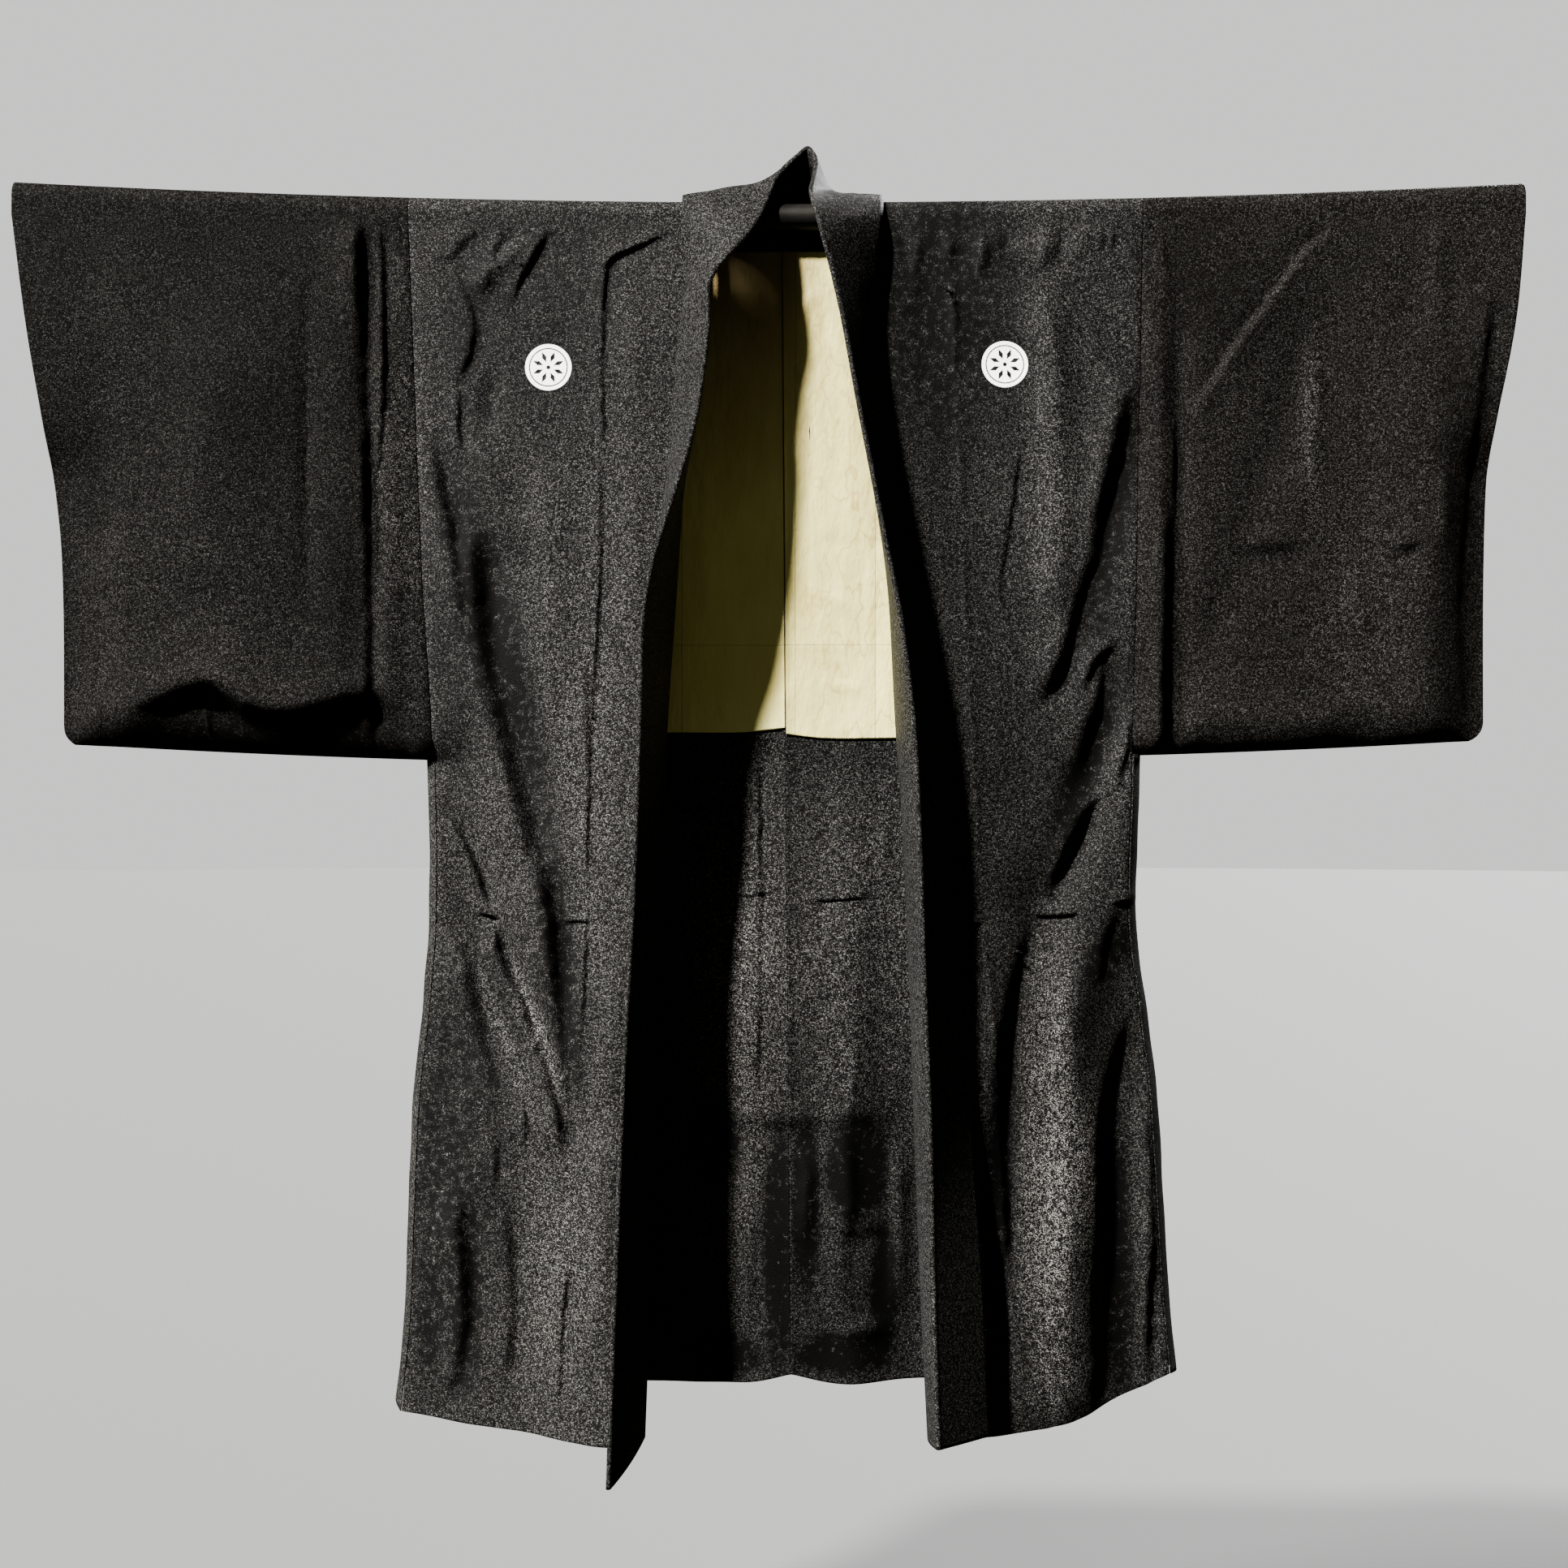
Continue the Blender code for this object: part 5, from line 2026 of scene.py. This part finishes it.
@dataclass
class Gusset(Piece):
    """The strip between front and back, from under the sleeve to the hem.

    Attributes:
        body: The length that it is sewn to.
        depth: How deep the sleeve above it is.
        bulge: How far its middle stands out.
        slack: Its own waves.
        top_gap: How far below the sleeve it starts.
        step: The spacing of its mesh.
        across: How many steps it has from front to back.
        flat: The cut's width at the hem and its length, in metres. Not used.
        area: The cut's area, as it narrows towards the sleeve, in square metres. Not used.
    """

    body: BodyLength
    depth: float
    bulge: float = 8.0
    slack: Waves = Waves(1.0, 60.0, 60.0, 11.0)
    top_gap: float = -1.6
    step: float = 4.5
    across: int = 16
    flat: tuple[float, float] = (0.062, 0.54)
    area: float = 0.0275

    def build(self) -> bpy.types.Object:
        """Make the gusset as one shell.

        Returns:
            The piece.
        """
        hang, side = self.hang, self.body.side
        shoulder = hang.shoulder(side)
        rise = hang.rise(shoulder)
        top = self.depth - rise + hang.cloth / 2 + self.top_gap
        even = spaced(hang.body_drop - top, self.step, ())
        ends = []
        for wall in (Wall.FRONT, Wall.BACK):
            hem = getattr(HEMS[-1], f"{side.word}_{wall.name.lower()}")
            rows = blend((top + rise) / (hem + rise), 1.0, even)
            ends.append(self.body.points(wall, np.full_like(rows, shoulder), rows))
        front, back = ends
        grid = []
        for j in range(self.across + 1):
            through = j / self.across
            swell = hang.seam_gap + self.body.shell_thickness / 2
            swell += self.bulge * math.sin(math.pi * through)
            line = blend(front, back, through)
            line[:, 0] += side.value * swell
            middle = math.sin(math.pi * through) ** 2
            line[:, 0] += middle * self.slack.at(line[:, 2], line[:, 2])
            grid.append(line)
        return shell(
            f"gusset_{side.word}_cloth", np.array(grid).swapaxes(0, 1), self.body.shell_thickness
        )

    def dress(self) -> None:
        """Finish the gusset in crepe silk."""
        side = self.body.side.word
        piece = self.build()
        self.enter(
            piece, "black_silk", CrepeSilk(f"crepe_gusset_{side}").material(), f"gusset_{side}"
        )


@dataclass
class Collar(Piece):
    """The folded band from one hem round the neck to the other.

    Attributes:
        bodies: The lengths that it is sewn to. Not used.
        cloth: The solid band's thickness.
        shell_thickness: The band's thickness.
        half_width: The width of one half.
        fold_radius: The radius of its fold.
        lift: How far its halves stand apart midway.
        rod_clearance: How far its middle stays from the rod's axis.
        belly: How the inner half bows down the fronts: towards the centre, and forwards.
        foot_bend: How sharply its ends turn down to their feet.
        front_step: The spacing of its mesh down the fronts.
        neck_step: The same round the neck.
        half_steps: How many steps cross one half.
        fold_steps: How many steps turn round the fold.
        flat: The cut's width and length, in metres. Not used.
    """

    bodies: dict[Side, BodyLength]
    cloth: float = 2.0
    shell_thickness: float = 1.3
    half_width: float = 62.0
    fold_radius: float = 1.5
    lift: float = 1.0
    rod_clearance: float = 15.1
    belly: Point = (4, 2)
    foot_bend: int = 8
    front_step: float = 5.0
    neck_step: float = 2.5
    half_steps: int = 15
    fold_steps: int = 8
    flat: tuple[float, float] = (0.127, 2.16)

    def on_front(self, side: Side, row: BandRow) -> CollarRow:
        """One row of the collar on a front.

        Args:
            side: The side.
            row: Its place in the band's table.

        Returns:
            The row's points.
        """
        hang = self.hang
        near_foot = (row.drop / max(LEFT_BAND[0].drop, RIGHT_BAND[-1].drop)) ** self.foot_bend
        feet = COLLAR_FEET[side]
        drop = np.array([row.drop], float)
        seam_x = side.value * hang.collar_seam(side, drop)
        fold_x, edge_x = side.value * row.fold, side.value * row.edge
        plain = hang.plain_out(side, Wall.FRONT, seam_x, drop)
        seam_out = float((plain + hang.folds(Wall.FRONT, seam_x, drop))[0])
        seam_x = float(seam_x[0])
        fold_out = seam_out + math.sqrt(self.half_width**2 - (fold_x - seam_x) ** 2)
        back_reach = math.sqrt(self.half_width**2 - (edge_x - fold_x) ** 2)
        at_edge = np.array([edge_x])
        resting = hang.plain_out(side, Wall.FRONT, at_edge, drop)
        resting = float((resting + hang.folds(Wall.FRONT, at_edge, drop))[0])
        edge_out = max(fold_out - back_reach, resting + hang.cloth + self.cloth + self.lift)
        return CollarRow(
            (seam_x, -seam_out, -row.drop - feet.seam * near_foot),
            (fold_x, -fold_out, -row.drop - feet.fold * near_foot),
            (edge_x, -edge_out, -row.drop - feet.edge * near_foot),
            (-side.value * self.belly[0], -self.belly[1], 0),
        )

    def clear_of_rod(self, point: Vector) -> Vector:
        """The point, pushed straight out of the rod if it is in the collar's way there.

        Args:
            point: A point of the band.

        Returns:
            The point, clear of the rod.
        """
        across = Vector((0, point.y, point.z - self.hang.rise(point.x)))
        if across.length >= self.rod_clearance:
            return point
        return point + across.normalized() * (self.rod_clearance - across.length)

    def section(self, row: Sequence[Vector], onward: Vector) -> list[Vector]:
        """The points across the band: seam, inner half, fold, outer half, edge.

        Args:
            row: The row's seam, fold, edge, belly and crown.
            onward: The way that the band runs on.

        Returns:
            The points.
        """
        seam, fold, edge, belly, crown = row
        tip = (fold - (seam + edge) / 2).normalized()
        across = tip.cross(onward).normalized()
        centre = fold - tip * self.fold_radius
        inner_end = centre - across * self.fold_radius
        middle = (seam + inner_end) / 2 + belly
        seam = self.clear_of_rod(seam)
        inner, outer = [seam], [edge]
        for i in range(1, self.half_steps + 1):
            t = i / self.half_steps
            point = seam * (1 - t) ** 2 + middle * 2 * t * (1 - t) + inner_end * t**2
            point = self.clear_of_rod(point)
            inner.append(point)
            apart = (edge - seam) * (1 - t) + across * (2 * self.fold_radius * t)
            lift = (across * self.lift + crown) * math.sin(math.pi * t)
            outer.append(point + apart + lift)
        turn = []
        for i in range(1, self.fold_steps):
            angle = math.pi * i / self.fold_steps
            arm = tip * math.sin(angle) - across * math.cos(angle)
            turn.append(centre + arm * self.fold_radius)
        return inner + turn + outer[::-1]

    def lines(self) -> list[list[Vector]]:
        """The rows along the whole band, on a smooth curve through its tables.

        Returns:
            The seam, fold, edge, belly and crown of each row.
        """
        rows = [self.on_front(Side.LEFT, row) for row in LEFT_BAND]
        rows += NECK
        rows += [self.on_front(Side.RIGHT, row) for row in RIGHT_BAND]
        last = len(rows) - 1
        lines = []
        for span in range(last):
            length = (Vector(rows[span + 1].fold) - Vector(rows[span].fold)).length
            at_neck = len(LEFT_BAND) <= span < len(LEFT_BAND) + len(NECK)
            steps = max(1, round(length / (self.neck_step if at_neck else self.front_step)))
            near = [rows[min(max(span + k, 0), last)] for k in (-1, 0, 1, 2)]
            for i in range(steps + (span == last - 1)):
                line = []
                for column in CollarRow._fields:
                    before, start, end, after = (Vector(getattr(row, column)) for row in near)
                    line.append(
                        hermite(start, end, (end - before) / 2, (after - start) / 2, i / steps)
                    )
                lines.append(line)
        return lines

    def build(self) -> bpy.types.Object:
        """Make the band as one shell.

        Returns:
            The piece.
        """
        lines = self.lines()
        fold_line = CollarRow._fields.index("fold")
        grid = []
        for i, line in enumerate(lines):
            before, after = lines[max(i - 1, 0)], lines[min(i + 1, len(lines) - 1)]
            grid.append(self.section(line, after[fold_line] - before[fold_line]))
        points = np.array([[tuple(point) for point in row] for row in grid])
        return shell("collar_cloth", points, self.shell_thickness)

    def dress(self) -> None:
        """Finish the band in crepe silk."""
        piece = self.build()
        # The collar's colours are painted darker than the left front's: painted shade.
        self.enter(piece, "collar_silk", CrepeSilk("crepe_collar", tone=0.75).material(), "collar")


@dataclass
class Rod(Piece):
    """The bowed rod through both sleeves.

    Attributes:
        sides: How many sides its section has.
        stations: How many rings it has.
        rounding: The radius of the rounding at its ends.
        rounding_steps: How many rings each rounding has.
    """

    sides: int = 48
    stations: int = 90
    rounding: float = 3.0
    rounding_steps: int = 6

    def build(self) -> bpy.types.Object:
        """Make the rod with rounded ends.

        Returns:
            The piece.
        """
        hang = self.hang
        half = hang.rod_half_length
        body = [
            (blend(-half + self.rounding, half - self.rounding, i / self.stations), hang.rod_radius)
            for i in range(self.stations + 1)
        ]
        end = []
        for i in range(1, self.rounding_steps + 1):
            angle = math.pi / 2 * i / self.rounding_steps
            along = half - self.rounding + self.rounding * math.sin(angle)
            end.append((along, hang.rod_radius - self.rounding * (1 - math.cos(angle))))
        stations = [(-x, radius) for x, radius in reversed(end)] + body + end
        points, faces = [], []
        for x, radius in stations:
            for k in range(self.sides):
                angle = math.tau * k / self.sides
                z = hang.rise(x) + radius * math.cos(angle)
                points.append((x * MM, radius * math.sin(angle) * MM, z * MM))
        for i in range(len(stations) - 1):
            for k in range(self.sides):
                after = (k + 1) % self.sides
                near, far = i * self.sides, (i + 1) * self.sides
                faces.append((near + k, far + k, far + after, near + after))
        faces.append(tuple(range(self.sides)))
        faces.append(tuple(reversed(range(len(points) - self.sides, len(points)))))
        mesh = bpy.data.meshes.new("rod_wood")
        mesh.from_pydata(points, [], faces)
        mesh.shade_smooth()
        return placed("rod_wood", mesh)

    def dress(self) -> None:
        """Finish the rod in lacquer."""
        piece = self.build()
        self.enter(piece, "lacquered_rod", Lacquer("lacquer_rod").material(), "rod")


# ------------ the studio


@dataclass(frozen=True)
class Lamp:
    """A large far-off light, soft at the edges of its shadows.

    Attributes:
        name: The light's name.
        place: The way to it from the garment.
        strength: How much light falls on what faces it, in watts a square metre.
        softness: How wide it looks from the garment, in degrees.
        tint: Its colour.
    """

    name: str
    place: tuple[float, float, float]
    strength: float
    softness: float
    tint: Colour = (1.0, 1.0, 1.0)


@dataclass
class Studio:
    """The camera, the lights and the floor.

    Attributes:
        eye: Where the camera stands.
        lens: Its focal length, for a sensor of sensor_width, in millimetres.
        sensor_width: The sensor's width.
        lamps: The lights.
        sky: The surroundings' colour.
        glow_tint: The colour of the light they give.
        sky_strength: How bright they look.
        glow: How much light they give.
        floor_drop: How far below the rod the floor is.
        floor_radius: How far the floor reaches.
        floor_sides: How many sides the round floor has.
    """

    eye: tuple[float, float, float] = (0.002, -2.004, -0.466)
    lens: float = 55.9
    sensor_width: float = 36.0
    lamps: Iterable[Lamp] = (
        Lamp("key", (-2.23, -2.66, 3.6), 25.0, 4.0, (1.0, 0.975, 0.93)),
        Lamp("side", (-3.4, -1.8, 3.1), 22.0, 14.0, (1.0, 0.985, 0.96)),
        Lamp("rear", (2.0, 3.0, 2.2), 14.0, 15.0),
    )
    sky: Colour = (0.95, 0.95, 0.94)
    glow_tint: Colour = (0.97, 0.98, 0.60)
    sky_strength: float = 1.05
    glow: float = 0.085
    floor_drop: float = 1.35
    floor_radius: float = 24.0
    floor_sides: int = 96

    def camera(self) -> None:
        """Place the camera, level and square to the garment."""
        data = bpy.data.cameras.new("camera")
        data.lens = self.lens
        data.sensor_width = self.sensor_width
        camera = placed("camera", data)
        camera.location = self.eye
        camera.rotation_euler = (math.pi / 2, 0.0, 0.0)
        bpy.context.scene.camera = camera

    def lights(self) -> None:
        """Hang the lights and set the surroundings."""
        for lamp in self.lamps:
            data = bpy.data.lights.new(lamp.name, "SUN")
            data.energy = lamp.strength
            data.angle = math.radians(lamp.softness)
            data.color = lamp.tint
            light = placed(lamp.name, data)
            light.location = lamp.place
            light.rotation_euler = Vector(lamp.place).to_track_quat("Z", "Y").to_euler()
        sky = Paint(bpy.data.worlds.new("studio"), "Background")
        seen = sky.add("ShaderNodeLightPath", {}, {}, output="Is Camera Ray")
        colour = sky.mix(seen, self.glow_tint, self.sky)
        strength = self.glow + (self.sky_strength - self.glow) * seen
        bpy.context.scene.world = sky.finish({"Color": colour, "Strength": strength})

    def floor(self) -> None:
        """Lay the floor."""
        turn = [math.tau * i / self.floor_sides for i in range(self.floor_sides)]
        rim = [
            (self.floor_radius * math.cos(a), self.floor_radius * math.sin(a), -self.floor_drop)
            for a in turn
        ]
        mesh = bpy.data.meshes.new("floor")
        mesh.from_pydata(rim, [], [tuple(range(len(rim)))])
        floor = placed("floor", mesh)
        mesh.materials.append(PaleFloor("pale_floor").material())
        floor.visible_diffuse = False
        floor.visible_glossy = False

    def build(self) -> None:
        """Set up the whole studio."""
        self.camera()
        self.lights()
        self.floor()


def plain(box: Any) -> list[list[float]]:
    """A box's corners as plain lists of numbers."""
    return [[float(value) for value in corner] for corner in box]


def main() -> None:
    """Build the studio and every piece."""
    logging.basicConfig(level=logging.INFO, format="%(name)s: %(message)s")
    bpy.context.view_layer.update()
    Studio().build()
    hang = Hang()
    rod = Rod(hang)
    bodies = {side: BodyLength(hang, side) for side in Side}
    sleeves = [Sleeve(hang, side) for side in Side]
    linings = [LiningHalf(hang, bodies[side]) for side in Side]
    gussets = [Gusset(hang, bodies[sleeve.side], sleeve.depths[sleeve.side]) for sleeve in sleeves]
    collar = Collar(hang, bodies)
    for piece in (rod, *bodies.values(), *linings, *sleeves, *gussets, collar):
        piece.dress()
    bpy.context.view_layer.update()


if __name__ == "__main__":
    main()
